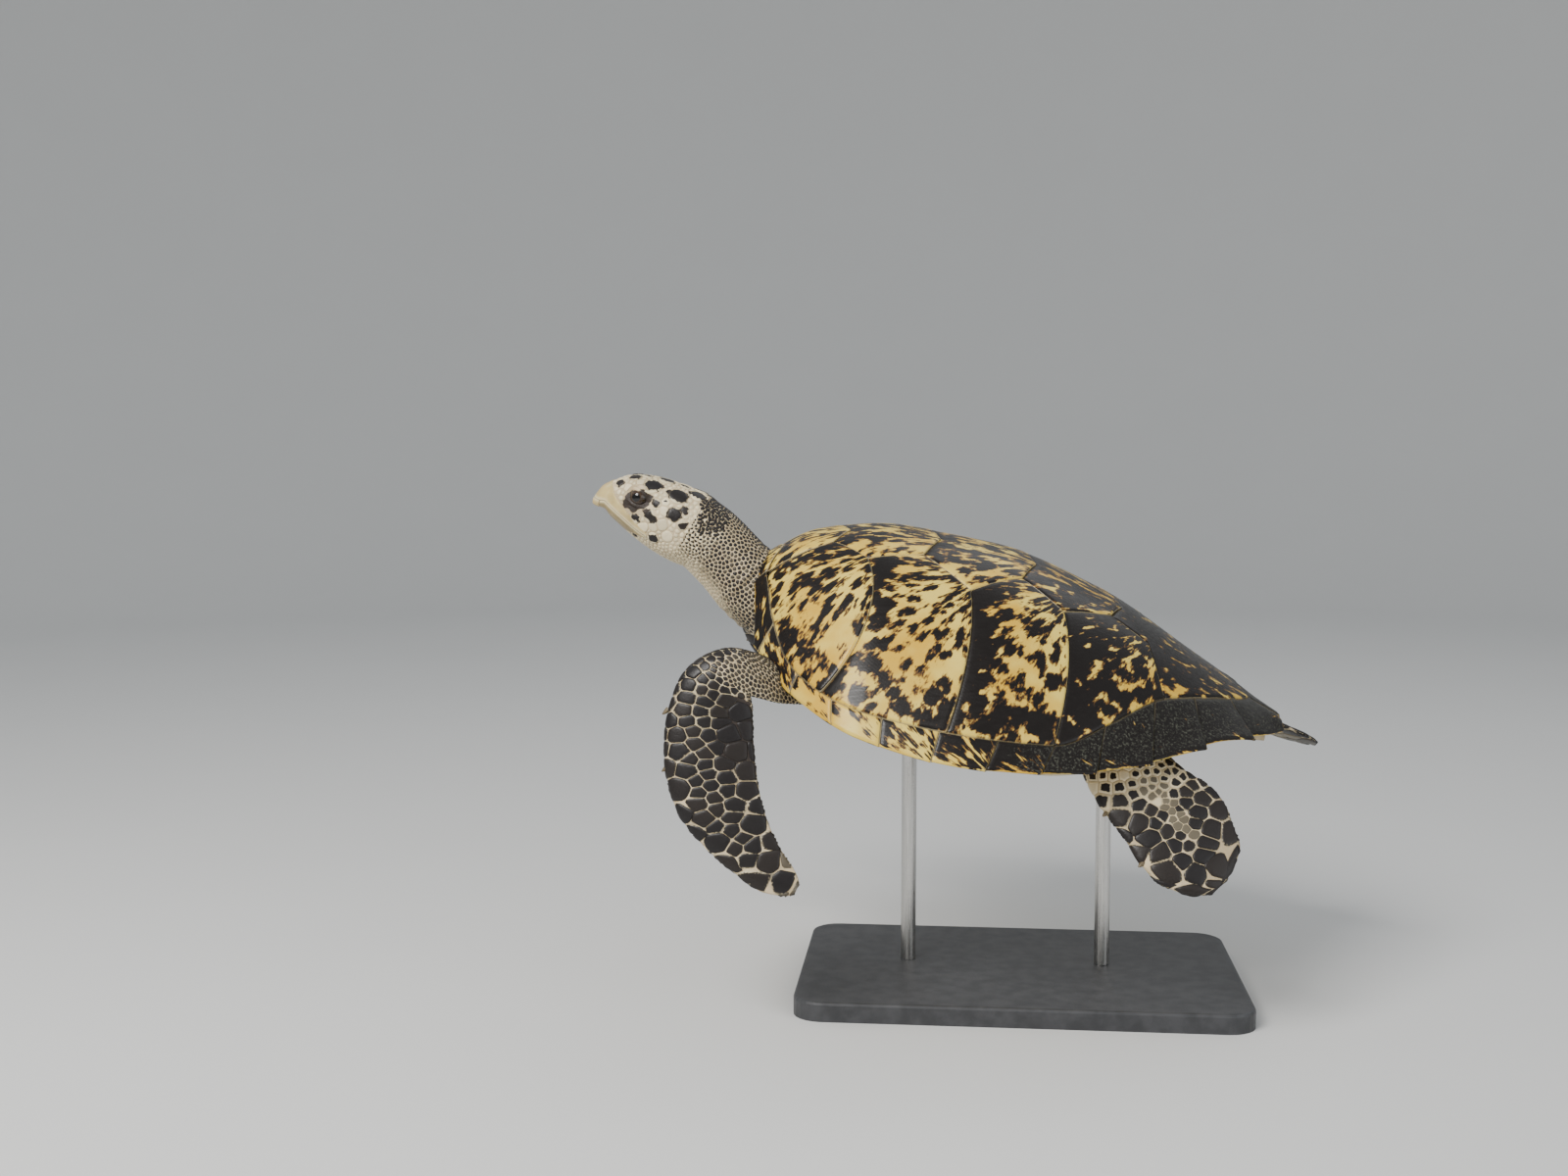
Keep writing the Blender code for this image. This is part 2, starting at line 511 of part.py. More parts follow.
def eyeball(name, radius):
    """A faceted ball for an eye or for its socket."""
    mesh = bpy.data.meshes.new(name)
    shape = bmesh.new()
    bmesh.ops.create_uvsphere(shape, u_segments=12, v_segments=7, radius=radius)
    shape.to_mesh(mesh)
    shape.free()
    return place(name, mesh, EYE_BLACK, 0.1)


def neck():
    """The neck, a bent tube from inside the trunk to the back of the head."""
    centres = np.array([(x, 0.0, z) for (x, z), _, _ in NECK])
    way = np.gradient(centres, axis=0)
    way /= np.linalg.norm(way, axis=1, keepdims=True)
    sideways = np.array([0.0, 1.0, 0.0])
    upward = np.cross(way, sideways)
    across, up = superellipse(NECK_SEGMENTS, 2.0)
    wide = np.array([row[1] for row in NECK])[:, None, None]
    tall = np.array([row[2] for row in NECK])[:, None, None]
    rings = centres[:, None] + wide * across[:, None] * sideways + tall * up[:, None] * upward[:, None]
    return place("neck", loft("neck", rings), SKIN, 0.6)


def plane_point(x, depth, inward, origin, lean):
    """A point of a left flipper's plane: depth runs down and out at its lean, inward to the body."""
    y = origin[0] - depth * math.sin(lean) + inward * math.cos(lean)
    z = origin[1] - depth * math.cos(lean) - inward * math.sin(lean)
    return np.stack([x + 0 * y, y, z], axis=-1)


def flipper_rings(stations, origin, lean):
    """Sections of a left flipper: lens-shaped, thickest a third behind the leading edge."""
    lead_x, lead_d, trail_x, trail_d, inward, thick = np.array(stations).T
    lead = plane_point(lead_x, lead_d, inward, origin, lean)
    trail = plane_point(trail_x, trail_d, inward, origin, lean)
    outward = np.array([0.0, -math.cos(lean), math.sin(lean)])
    across, up = superellipse(FLIPPER_SEGMENTS, FLIPPER_SQUARENESS)
    share = (1 + across) / 2
    centre = lead[:, None] * (1 - share[:, None]) + trail[:, None] * share[:, None]
    foil = up * (1 + 0.35 * (1 - 2 * share))
    return centre + thick[:, None, None] * foil[:, None] * outward


def limb(names, rings, split, side):
    """A limb parted across at one station into its upper part and its blade."""
    rings = rings * np.array([1.0, side, 1.0])
    way = rings[split + 1] - rings[split]
    way /= np.linalg.norm(way, axis=1, keepdims=True)
    pieces = []
    for name, stretch, shift in ((names[0], rings[:split + 1], 0.0), (names[1], rings[split:], SEAM)):
        stretch = stretch.copy()
        if shift:
            stretch[0] += way * shift
        pieces.append(place(name, loft(name, stretch), DARK_SKIN, 0.55))
    return pieces


def swung(points, swing):
    """Points of a left limb turned about a point and shifted, ready to be mirrored to the right."""
    about, degrees, shift = swing
    turn = np.array(Euler([math.radians(angle) for angle in degrees]).to_matrix())
    return (points - np.array(about)) @ turn.T + np.array(about) + np.array(shift)


def rising_root(rings, knee, rise):
    """Sections of a limb whose stretch above the knee slopes up to its root."""
    share = np.clip(1 - np.arange(len(rings)) / knee, 0, 1)
    return rings + share[:, None, None] * np.array([0.0, 0.0, rise])


def claw(name, root, away):
    """A short claw standing out from a leading edge."""
    mesh = bpy.data.meshes.new(name)
    shape = bmesh.new()
    bmesh.ops.create_cone(shape, cap_ends=True, segments=6, radius1=CLAW_RADIUS, radius2=CLAW_RADIUS / 5,
                          depth=CLAW_LENGTH)
    shape.to_mesh(mesh)
    shape.free()
    piece = place(name, mesh, BEAK_HORN, 0.4)
    piece.location = root + away * CLAW_LENGTH * CLAW_STANDS_OUT
    piece.rotation_euler = Vector(away).to_track_quat("Z", "Y").to_euler()
    return piece


def claws(names, places, origin, lean, side, blade, swing):
    """The claws of one flipper, set into its leading edge and pointing on along it."""
    for name, (x, depth) in zip(names, places):
        along = np.array([0.0, 1.0])
        spot = plane_point(x + CLAW_SLANT[0] * along, depth + CLAW_SLANT[1] * along, 0.0, origin, lean)
        if side < 0:
            spot = swung(spot, swing)
        spot = spot * np.array([1.0, side, 1.0])
        away = spot[1] - spot[0]
        piece = claw(name, spot[0], away / np.linalg.norm(away))
        part_from(piece, blade)


def tail(*neighbours):
    """The short tail under the last marginal scutes."""
    centres = np.array([(x, 0.0, z) for (x, z), _ in TAIL])
    radius = np.array([row[1] for row in TAIL])[:, None, None]
    across, up = superellipse(12, 2.0)
    rings = centres[:, None] + radius * np.stack([0 * up, across, 0.75 * up], axis=1)
    piece = place("tail", loft("tail", rings), SKIN, 0.6)
    part_from(piece, *neighbours)
    return piece


def carapace():
    """All horny plates of the upper shell."""
    pieces = [nuchal()]
    for number in range(5):
        pieces.append(scute("vertebral_%d" % (number + 1), *vertebral(number), HORN))
    for side_name, side in (("left", 1), ("right", -1)):
        for number in range(4):
            pieces.append(scute("costal_%d_%s" % (number + 1, side_name), *costal(number, side), HORN))
        pieces.append(marginal_rim("marginal_rim_" + side_name, side))
    return pieces


def animal():
    """Every piece of the turtle."""
    plates = {piece.name: piece for piece in carapace()}
    belly = plastron()
    body = trunk()
    head = head_and_beak()
    throat = neck()
    part_from(throat, body, head, plates["nuchal"])
    for side_name, side in (("left", 1), ("right", -1)):
        rim = plates["marginal_rim_" + side_name]
        part_from(throat, rim)
        rings = flipper_rings(FRONT_FLIPPER, FRONT_PLANE_ORIGIN, FRONT_PLANE_LEAN)
        rings = swung(rings, RIGHT_FRONT_SWING) if side < 0 else rings
        names = ("upper_arm_" + side_name, "front_flipper_" + side_name)
        arm, blade = limb(names, rings, FRONT_ELBOW, side)
        part_from(arm, body, belly, rim, throat)
        claw_names = ["front_claw_%d_%s" % (number, side_name) for number in (1, 2)]
        claws(claw_names, FRONT_CLAWS, FRONT_PLANE_ORIGIN, FRONT_PLANE_LEAN, side, blade, RIGHT_FRONT_SWING)
        rings = flipper_rings(HIND_FLIPPER, HIND_PLANE_ORIGIN, HIND_PLANE_LEAN)
        if side < 0:
            rings = rising_root(swung(rings, RIGHT_HIND_SWING), HIND_KNEE, RIGHT_THIGH_RISE)
        thigh, paddle = limb(("thigh_" + side_name, "hind_flipper_" + side_name), rings, HIND_KNEE, side)
        part_from(thigh, belly, rim, body)
        claw_names = ["hind_claw_%d_%s" % (number, side_name) for number in (1, 2)]
        claws(claw_names, HIND_CLAWS, HIND_PLANE_ORIGIN, HIND_PLANE_LEAN, side, paddle, RIGHT_HIND_SWING)
    tail(belly, body)


def height_on_shell_plane(x, y, level):
    """World height above (x, y) of the plane that lies at the given level of the shell frame."""
    up = POSE_MATRIX.to_3x3() @ Vector((0.0, 0.0, 1.0))
    centre = POSE_MATRIX.translation
    return centre.z + (level - up.x * (x - centre.x) - up.y * (y - centre.y)) / up.z


def stand_base():
    """Flat base with rounded corners and softened edges."""
    mesh = bpy.data.meshes.new("stand_base")
    shape = bmesh.new()
    bmesh.ops.create_cube(shape, size=1.0)
    size = Vector((BASE_LENGTH, BASE_DEPTH, BASE_THICKNESS))
    bmesh.ops.scale(shape, vec=size, verts=shape.verts)
    bmesh.ops.translate(shape, vec=(0.0, 0.0, BASE_THICKNESS / 2), verts=shape.verts)
    upright = [edge for edge in shape.edges
               if abs(edge.verts[0].co.z - edge.verts[1].co.z) > BASE_THICKNESS / 2]
    bmesh.ops.bevel(shape, geom=upright, offset=BASE_CORNER, segments=6, affect="EDGES", profile=0.5)
    top = [edge for edge in shape.edges if min(vert.co.z for vert in edge.verts) > BASE_THICKNESS * 0.99]
    bmesh.ops.bevel(shape, geom=top, offset=BASE_EDGE_ROUND, segments=2, affect="EDGES", profile=0.5)
    shape.to_mesh(mesh)
    shape.free()
    return place("stand_base", mesh, STAND_BLACK, 0.5, on_animal=False)


def stand_support(name, x):
    """One upright rod with the round pad that lies flat against the plastron."""
    turn = np.linspace(0, 2 * math.pi, 20, endpoint=False)
    near = x + PAD_RADIUS * np.array([-1.0, 0.0, 1.0])
    level = belly_height(near / STATION_LENGTH + 0.5, 0.0).min() - STAND_GAP
    circle = np.stack([np.cos(turn), np.sin(turn)], axis=1)
    disc = np.array([[(x + PAD_RADIUS * c, PAD_RADIUS * d, level - drop) for c, d in circle]
                     for drop in (PAD_THICKNESS, 0.0)])
    place("stand_pad_" + name, loft("stand_pad_" + name, disc), STAND_BLACK, 0.7)
    under = level - PAD_THICKNESS - STAND_GAP
    foot = POSE_MATRIX @ Vector((x, 0.0, under))
    start = BASE_THICKNESS + STAND_GAP
    rings = [[(foot.x + ROD_RADIUS * c, foot.y + ROD_RADIUS * d, start) for c, d in circle]]
    rings.append([(px, py, height_on_shell_plane(px, py, under)) for px, py, _ in rings[0]])
    rod = loft("stand_rod_" + name, np.array(rings))
    place("stand_rod_" + name, rod, ROD_STEEL, 0.3, 1.0, on_animal=False)


animal()
stand_base()
for end, station in zip(("front", "rear"), ROD_STATIONS):
    stand_support(end, station)
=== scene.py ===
"""Hawksbill sea turtle: a still, life-size display model on its stand, put together piece by piece.

The animal is worked out in its own shell frame (nose to -X, left side to -Y, back to +Z, origin
amidships at rim level) and then tipped into its swimming pose above the stand.
"""
import math

import bmesh
import bpy
import numpy as np
from mathutils import Euler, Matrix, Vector


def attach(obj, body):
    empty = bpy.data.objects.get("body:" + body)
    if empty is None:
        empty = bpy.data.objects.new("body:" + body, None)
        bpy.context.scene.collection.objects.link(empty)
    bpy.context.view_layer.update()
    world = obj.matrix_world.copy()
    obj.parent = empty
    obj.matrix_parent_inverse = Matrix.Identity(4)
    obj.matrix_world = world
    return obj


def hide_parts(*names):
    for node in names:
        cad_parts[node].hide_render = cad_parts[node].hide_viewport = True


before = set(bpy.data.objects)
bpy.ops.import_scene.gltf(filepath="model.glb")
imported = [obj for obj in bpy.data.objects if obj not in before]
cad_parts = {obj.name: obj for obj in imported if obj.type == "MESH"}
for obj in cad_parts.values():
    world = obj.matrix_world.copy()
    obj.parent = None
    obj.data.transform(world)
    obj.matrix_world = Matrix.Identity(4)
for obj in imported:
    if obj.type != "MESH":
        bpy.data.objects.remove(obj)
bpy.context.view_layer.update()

# ---------------------------------------------------------------------------------------------
# Stand: a painted board with rounded corners, two bright steel rods screwed into it from below,
# and a soft rubber pad on each rod that the belly rests on.
STAND_PAINT_DARK = (0.030, 0.031, 0.034)
STAND_PAINT_LIGHT = (0.052, 0.053, 0.057)
ROD_STEEL = (0.62, 0.61, 0.59)
PAD_RUBBER = (0.035, 0.034, 0.033)


def finish(name, **settings):
    """A new node material: the shader's plain sockets are set from the settings by name."""
    made = bpy.data.materials.new(name)
    made.use_nodes = True
    shader = made.node_tree.nodes["Principled BSDF"]
    for socket, value in settings.items():
        shader.inputs[socket.replace("_", " ")].default_value = value
    return made


def node(tree, kind, inputs, output=0, **fields):
    """Add one node, set its fields, feed its inputs from sockets or plain values, give its output."""
    made = tree.nodes.new("ShaderNode" + kind)
    for field, value in fields.items():
        setattr(made, field, value)
    for key, value in inputs.items():
        if isinstance(value, bpy.types.NodeSocket):
            tree.links.new(value, made.inputs[key])
        else:
            made.inputs[key].default_value = value
    return made.outputs[output]


def place_on(tree):
    """Coordinates of the object itself, in metres."""
    return node(tree, "TexCoord", {}, output=3)


def stretched(tree, at, scale):
    """Coordinates multiplied by a number along each axis."""
    return node(tree, "Mapping", {"Vector": at, "Scale": scale})


def noise(tree, at, scale, detail=3.0, rough=0.55, warp=0.0):
    """Cloudy noise from 0 to 1 at coordinates."""
    return node(tree, "TexNoise", {"Vector": at, "Scale": scale, "Detail": detail, "Roughness": rough,
                                   "Distortion": warp})


def span(tree, value, low, high, to_low=0.0, to_high=1.0):
    """A value between low and high eased onto another range and held beyond it."""
    return node(tree, "MapRange", {"Value": value, 1: low, 2: high, 3: to_low, 4: to_high},
                interpolation_type="SMOOTHSTEP")


def sums(tree, operation, first, second, third=0.0):
    """Arithmetic on plain numbers or sockets."""
    return node(tree, "Math", {0: first, 1: second, 2: third}, operation=operation)


def mixed(tree, share, first, second):
    """One colour over another by a share."""
    ends = {6: first if isinstance(first, bpy.types.NodeSocket) else (*first, 1.0),
            7: second if isinstance(second, bpy.types.NodeSocket) else (*second, 1.0)}
    return node(tree, "Mix", {0: share, **ends}, output=2, data_type="RGBA")


def bumped(tree, height, depth):
    """A surface normal tilted by the slope of a height, which stands for a depth in metres."""
    return node(tree, "Bump", {"Height": height, "Distance": depth, "Strength": 1.0})


def to_shader(made, **sockets):
    """Feed named shader sockets of a material from node sockets."""
    shader = made.node_tree.nodes["Principled BSDF"]
    for socket, source in sockets.items():
        made.node_tree.links.new(source, shader.inputs[socket.replace("_", " ")])


def stand_finish(name, dark, light, grain, roughness, metallic, depth, stretch=(1.0, 1.0, 1.0)):
    """A finish with a fine grain: colour between two tones, roughness and bump from the same noise."""
    made = finish(name, Metallic=metallic)
    tree = made.node_tree
    at = stretched(tree, place_on(tree), stretch)
    coarse = noise(tree, at, grain / 14, 4.0)
    fine = noise(tree, at, grain, 2.0)
    to_shader(made, Base_Color=mixed(tree, span(tree, coarse, 0.3, 0.7), dark, light),
              Roughness=span(tree, fine, 0.2, 0.8, roughness - 0.07, roughness + 0.07),
              Normal=bumped(tree, fine, depth))
    return made


stand_looks = {
    "stand_base": stand_finish("stand_paint", STAND_PAINT_DARK, STAND_PAINT_LIGHT, 900.0, 0.48, 0.0, 0.00006),
    "stand_rod": stand_finish("stand_steel", ROD_STEEL, tuple(0.8 * tone for tone in ROD_STEEL), 700.0,
                              0.27, 1.0, 0.00002, (1.0, 1.0, 0.04)),
    "stand_pad": stand_finish("stand_rubber", PAD_RUBBER, tuple(1.6 * tone for tone in PAD_RUBBER), 1500.0,
                              0.75, 0.0, 0.00005)}
for stand_name, stand_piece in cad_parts.items():
    for start, look in stand_looks.items():
        if stand_name.startswith(start):
            stand_piece.data.materials.clear()
            stand_piece.data.materials.append(look)

# ---------------------------------------------------------------------------------------------
# Carapace: the nuchal, five vertebral and eight costal scutes, plates of glossy keratin a few
# millimetres thick that lie edge to edge over the arched back and are bonded to it.
NOSE_UP = math.radians(11.8)
LEFT_SIDE_DOWN = math.radians(10.8)
SHELL_CENTRE_HEIGHT = 0.335
STATION_LENGTH = 0.60
TAIL_STATION = 0.948
# Each pair: how far along the shell, from 0 at the neck, and the measure there in metres.
HALF_WIDTH = ((0.0, 0.061), (0.04, 0.095), (0.12, 0.170), (0.25, 0.230), (0.40, 0.243),
              (0.55, 0.228), (0.70, 0.184), (0.82, 0.122), (0.90, 0.066), (TAIL_STATION, 0.016))
RIM_HEIGHT = ((0.0, 0.004), (0.15, -0.018), (0.35, -0.026), (0.60, -0.014), (0.73, 0.001), (0.80, 0.012),
              (0.86, 0.016), (0.91, 0.010), (TAIL_STATION, 0.006))
CROWN_HEIGHT = ((0.0, 0.060), (0.10, 0.103), (0.25, 0.123), (0.40, 0.124), (0.60, 0.101),
                (0.80, 0.051), (0.90, 0.0245), (TAIL_STATION, 0.012))
ARCH_POWER = 2.2
FRONT_ARCH = 1.0
REAR_FLARE = 0.3
FRONT_EDGE_R = 0.12
REAR_EDGE_R = 0.98
FRONT_SWEEP = 0.04
TAIL_NOTCH = 0.014
# Each row: how far round the rim from front to tail, then how far along and how far across.
INNER_RING = ((0.0, 0.045, 0.0), (0.065, 0.030, 0.45), (0.085, 0.035, 0.54), (0.12, 0.060, 0.79),
              (0.17, 0.100, 0.905), (0.21, 0.140, 0.93), (0.254, 0.175, 0.935), (0.443, 0.385, 0.912),
              (0.595, 0.555, 0.905), (0.693, 0.645, 0.80), (0.778, 0.725, 0.64), (0.846, 0.783, 0.57),
              (0.904, 0.835, 0.46), (0.953, 0.872, 0.26), (1.0, 0.890, 0.0))
VERTEBRAL_ENDS = ((0.133, 0.19), (0.290, 0.22), (0.460, 0.22), (0.620, 0.20))
VERTEBRAL_CORNERS = ((0.198, 0.33), (0.378, 0.39), (0.537, 0.34), (0.690, 0.27))
VERTEBRAL_POINT = 0.022
COSTAL_RING_R = (0.085, 0.254, 0.443, 0.595, 0.778)
COSTAL_BOW = (0.0, 0.036, 0.012, 0.012, 0.0)
NUCHAL_R = 0.065
NUCHAL_COLUMNS = 50
SCUTE_PLATE = 0.0032
SCUTE_DROP = 0.0004
SCUTE_BEVEL = 0.0012
BEVEL_WIDTH = 0.0016
SCUTE_LAP = 0.0007
LAP_WIDTH = 0.012
SINK_WIDTH = 0.010
GROWTH_CENTRE_BEHIND = 0.055
TORTOISE_AMBER = (0.590, 0.350, 0.032)
TORTOISE_STRAW = (0.710, 0.535, 0.110)
TORTOISE_EDGE = (0.150, 0.070, 0.018)
TORTOISE_DARK = (0.008, 0.006, 0.005)
SEAM_PALE = (0.560, 0.460, 0.260)
ALGAE_GREY = (0.120, 0.126, 0.094)
HORN_GROUND = 0.87
HORN_RELIEF = 0.00028
VERTEBRAL_DARKNESS = (0.00, 0.07, 0.09, 0.17, 0.27)
COSTAL_DARKNESS = (0.02, 0.00, 0.04, 0.15)
COSTAL_FRONT_BAND = (0.05, 0.22, 0.36, 0.30)
COSTAL_OUTER_SPOTS = (1.0, 1.0, 0.8, 0.3)


def smooth(stations, at, column=1):
    """Cubic curve through stations that never overshoots: the slope at each one is the harmonic mean
    of the slopes on its two sides, or none where they differ in sign."""
    table = np.array(stations, dtype=float)
    x, y = table[:, 0], table[:, column]
    step = np.diff(x)
    slope = np.diff(y) / step
    left, right = slope[:-1], slope[1:]
    same_way = left * right > 0
    mean = np.where(same_way, 2 * left * right / np.where(same_way, left + right, 1.0), 0.0)
    tangent = np.concatenate([slope[:1], mean, slope[-1:]])
    at = np.clip(np.asarray(at, dtype=float), x[0], x[-1])
    index = np.clip(np.searchsorted(x, at, side="right") - 1, 0, len(x) - 2)
    u = (at - x[index]) / step[index]
    rise = (1 + 2 * u) * (1 - u) ** 2 * y[index] + u * u * (3 - 2 * u) * y[index + 1]
    bend = u * (1 - u) ** 2 * tangent[index] - u * u * (1 - u) * tangent[index + 1]
    return rise + step[index] * bend


def ease(value, low, high):
    """0 below low, 1 above high, and between them three times the square less twice the cube."""
    share = np.clip((np.asarray(value, dtype=float) - low) / (high - low), 0, 1)
    return share * share * (3 - 2 * share)


def shell_point(s, t):
    """Top of the carapace: s runs from neck to tail, t across from the right rim (-1) to the left
    (+1); the rise from rim to crown is one less t to a power, all to a power that grows rearwards."""
    rim = smooth(RIM_HEIGHT, s)
    arch = np.clip(1 - np.abs(t) ** ARCH_POWER, 0, 1) ** (FRONT_ARCH + REAR_FLARE * s)
    height = rim + (smooth(CROWN_HEIGHT, s) - rim) * arch
    return np.stack([(s - 0.5) * STATION_LENGTH, -smooth(HALF_WIDTH, s) * t, height], axis=-1)


def unit(vectors):
    """Vectors scaled to length one."""
    return vectors / np.maximum(np.linalg.norm(vectors, axis=-1, keepdims=True), 1e-12)


def shell_normal(s, t):
    """Outward normal of the carapace, from two short steps along its surface."""
    step = 1e-3
    along = shell_point(np.minimum(s + step, TAIL_STATION), t) - shell_point(np.maximum(s - step, 0), t)
    across = (shell_point(s, np.clip(t - step, -0.999, 0.999))
              - shell_point(s, np.clip(t + step, -0.999, 0.999)))
    return unit(np.cross(along, across))


def inner_ring(r):
    """Seam between the marginal scutes and the scutes inside them, for r on the left side."""
    return smooth(INNER_RING, r, 1), smooth(INNER_RING, r, 2)


def outer_rim(r):
    """Rim of the shell: across the front edge, along the side, and in to the notch at the tail."""
    front = np.clip(r / FRONT_EDGE_R, 0, 1)
    side = np.clip((r - FRONT_EDGE_R) / (REAR_EDGE_R - FRONT_EDGE_R), 0, 1)
    rear = np.clip((r - REAR_EDGE_R) / (1 - REAR_EDGE_R), 0, 1)
    s = FRONT_SWEEP * front ** 2 + (TAIL_STATION - FRONT_SWEEP) * side - TAIL_NOTCH * rear
    return s, np.where(r < FRONT_EDGE_R, front, 1 - rear)


def posed(points):
    """Points of the shell frame tipped left side down, then nose up, and lifted above the stand."""
    roll = np.array([[1, 0, 0], [0, math.cos(LEFT_SIDE_DOWN), -math.sin(LEFT_SIDE_DOWN)],
                     [0, math.sin(LEFT_SIDE_DOWN), math.cos(LEFT_SIDE_DOWN)]])
    pitch = np.array([[math.cos(NOSE_UP), 0, math.sin(NOSE_UP)], [0, 1, 0],
                      [-math.sin(NOSE_UP), 0, math.cos(NOSE_UP)]])
    return np.asarray(points).reshape(-1, 3) @ (pitch @ roll).T + np.array([0.0, 0.0, SHELL_CENTRE_HEIGHT])


def written(mesh, fact, values):
    """Write a number, or three, at each vertex of a mesh under a name that a material can read."""
    values = np.ascontiguousarray(values, dtype=np.float32)
    kind, field = ("FLOAT_VECTOR", "vector") if values.ndim == 2 else ("FLOAT", "value")
    mesh.attributes.new(fact, kind, "POINT").data.foreach_set(field, values.ravel())


def carried(tree, fact, output=2):
    """The number at each vertex under a name, or with output 1 the three numbers."""
    return node(tree, "Attribute", {}, output=output, attribute_name=fact)


def smoothed(mesh):
    """Shade a mesh smoothly all over."""
    mesh.polygons.foreach_set("use_smooth", np.ones(len(mesh.polygons), dtype=bool))


def surface_mesh(name, points, faces, facts=None):
    """A smooth mesh from points of the shell frame and faces, with named numbers at its vertices."""
    mesh = bpy.data.meshes.new(name)
    mesh.from_pydata(posed(points).tolist(), [], faces)
    for fact, values in (facts or {}).items():
        written(mesh, fact, values)
    smoothed(mesh)
    mesh.validate()
    mesh.update()
    return mesh


def stood(name, data):
    """A new object in the scene around a mesh, a light or a camera."""
    made = bpy.data.objects.new(name, data)
    bpy.context.scene.collection.objects.link(made)
    return made


def shown(name, mesh, look, slot, *nodes):
    """Put a finished mesh on the body in place of its CAD nodes."""
    piece = stood(name, mesh)
    mesh.materials.clear()
    mesh.materials.append(look)
    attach(piece, "root")
    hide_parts(*nodes)
    return piece


def plate_faces(rows, columns, turned=False):
    """Faces of a closed plate between two grids of points: a four-sided face for each square of
    either grid, and a wall that follows their four edges round."""
    number = np.arange(rows * columns).reshape(rows, columns)
    below = number + rows * columns
    squares = (number[:-1, :-1], number[1:, :-1], number[1:, 1:], number[:-1, 1:])
    faces = np.stack([corner.ravel() for corner in squares], axis=1)
    faces = np.concatenate([faces, faces[:, ::-1] + rows * columns])
    edge = np.concatenate([number[0, :-1], number[:-1, -1], number[-1, :0:-1], number[:0:-1, 0]])
    lower = np.concatenate([below[0, :-1], below[:-1, -1], below[-1, :0:-1], below[:0:-1, 0]])
    faces = np.concatenate([faces, np.stack([edge, np.roll(edge, -1), np.roll(lower, -1), lower], axis=1)])
    return faces[:, ::-1] if turned else faces


def edge_distance(points):
    """How far each point of a grid lies from each of the grid's four edges, summed along its lines:
    front, rear, then both ends."""
    down = np.linalg.norm(np.diff(points, axis=0), axis=2)
    over = np.linalg.norm(np.diff(points, axis=1), axis=2)
    rows, columns = points.shape[:2]
    run_down = np.concatenate([np.zeros((1, columns)), np.cumsum(down, axis=0)])
    run_over = np.concatenate([np.zeros((rows, 1)), np.cumsum(over, axis=1)], axis=1)
    return np.stack([run_down, run_down[-1:] - run_down, run_over, run_over[:, -1:] - run_over], axis=2)


def sample(corners, count):
    """Points spread along a polyline in proportion to its stretches, keeping its corners."""
    corners = np.array(corners, dtype=float)
    at = np.linspace(0, len(corners) - 1, count)
    return np.stack([np.interp(at, np.arange(len(corners)), corners[:, k]) for k in (0, 1)], axis=1)


def vertebral_outline(number, rows):
    """Side line of one vertebral scute and the two stations where its cross seams meet the midline."""
    middles = [end[0] + VERTEBRAL_POINT for end in VERTEBRAL_ENDS]
    if number == 0:
        return sample([INNER_RING[1][1:], VERTEBRAL_ENDS[0]], rows), (inner_ring(0.0)[0], middles[0])
    if number < 4:
        side = [VERTEBRAL_ENDS[number - 1], VERTEBRAL_CORNERS[number - 1], VERTEBRAL_ENDS[number]]
        return sample(side, rows), (middles[number - 1], middles[number])
    ring = np.stack(inner_ring(np.array([COSTAL_RING_R[4], 0.825, 0.870, 0.912, 0.953, 0.985])), axis=1)
    side = np.concatenate([[VERTEBRAL_ENDS[3], VERTEBRAL_CORNERS[3]], ring])
    return sample(side, rows), (middles[3], inner_ring(1.0)[0])


def vertebral_grid(number, rows=64, columns=56):
    """Shell coordinates of a vertebral scute: a hexagon whose cross seams point to the tail."""
    side, ends = vertebral_outline(number, rows)
    across = np.linspace(-1, 1, columns)
    middle = np.linspace(ends[0], ends[1], rows)
    s = middle[:, None] * (1 - np.abs(across)) + side[:, 0:1] * np.abs(across)
    return s, side[:, 1:2] * across


def costal_grid(number, side, rows=60, columns=84):
    """Shell coordinates of a costal scute, from the vertebral row out to the marginal ring."""
    if number == 0:
        beside_nuchal = (INNER_RING[1][1] + 0.004, INNER_RING[1][2] + 0.01)
        corners = [beside_nuchal, VERTEBRAL_ENDS[0], VERTEBRAL_CORNERS[0]]
    else:
        corners = [VERTEBRAL_CORNERS[number - 1], VERTEBRAL_ENDS[number], VERTEBRAL_CORNERS[number]]
    inner = sample(corners, rows)
    outer = np.stack(inner_ring(np.linspace(COSTAL_RING_R[number], COSTAL_RING_R[number + 1], rows)), axis=1)
    out = np.linspace(0, 1, columns)
    bow = np.linspace(COSTAL_BOW[number], COSTAL_BOW[number + 1], rows)[:, None] * 4 * out * (1 - out)
    s = inner[:, 0:1] * (1 - out) + outer[:, 0:1] * out + bow
    return s, (inner[:, 1:2] * (1 - out) + outer[:, 1:2] * out) * side


def nuchal_grid(rows=30, columns=NUCHAL_COLUMNS):
    """Shell coordinates of the plate at the middle of the front edge."""
    r = np.linspace(-NUCHAL_R, NUCHAL_R, columns)
    front, rear = outer_rim(np.abs(r)), inner_ring(np.abs(r))
    back = np.linspace(0, 1, rows)[:, None]
    return front[0] * (1 - back) + rear[0] * back, (front[1] * (1 - back) + rear[1] * back) * np.sign(r)


def fan_from(heart, points, forward, aside):
    """Distance of points from a growth centre, and their turn about it away from forward."""
    lie = points - heart
    return np.linalg.norm(lie, axis=2), np.arctan2(lie @ aside, lie @ forward)


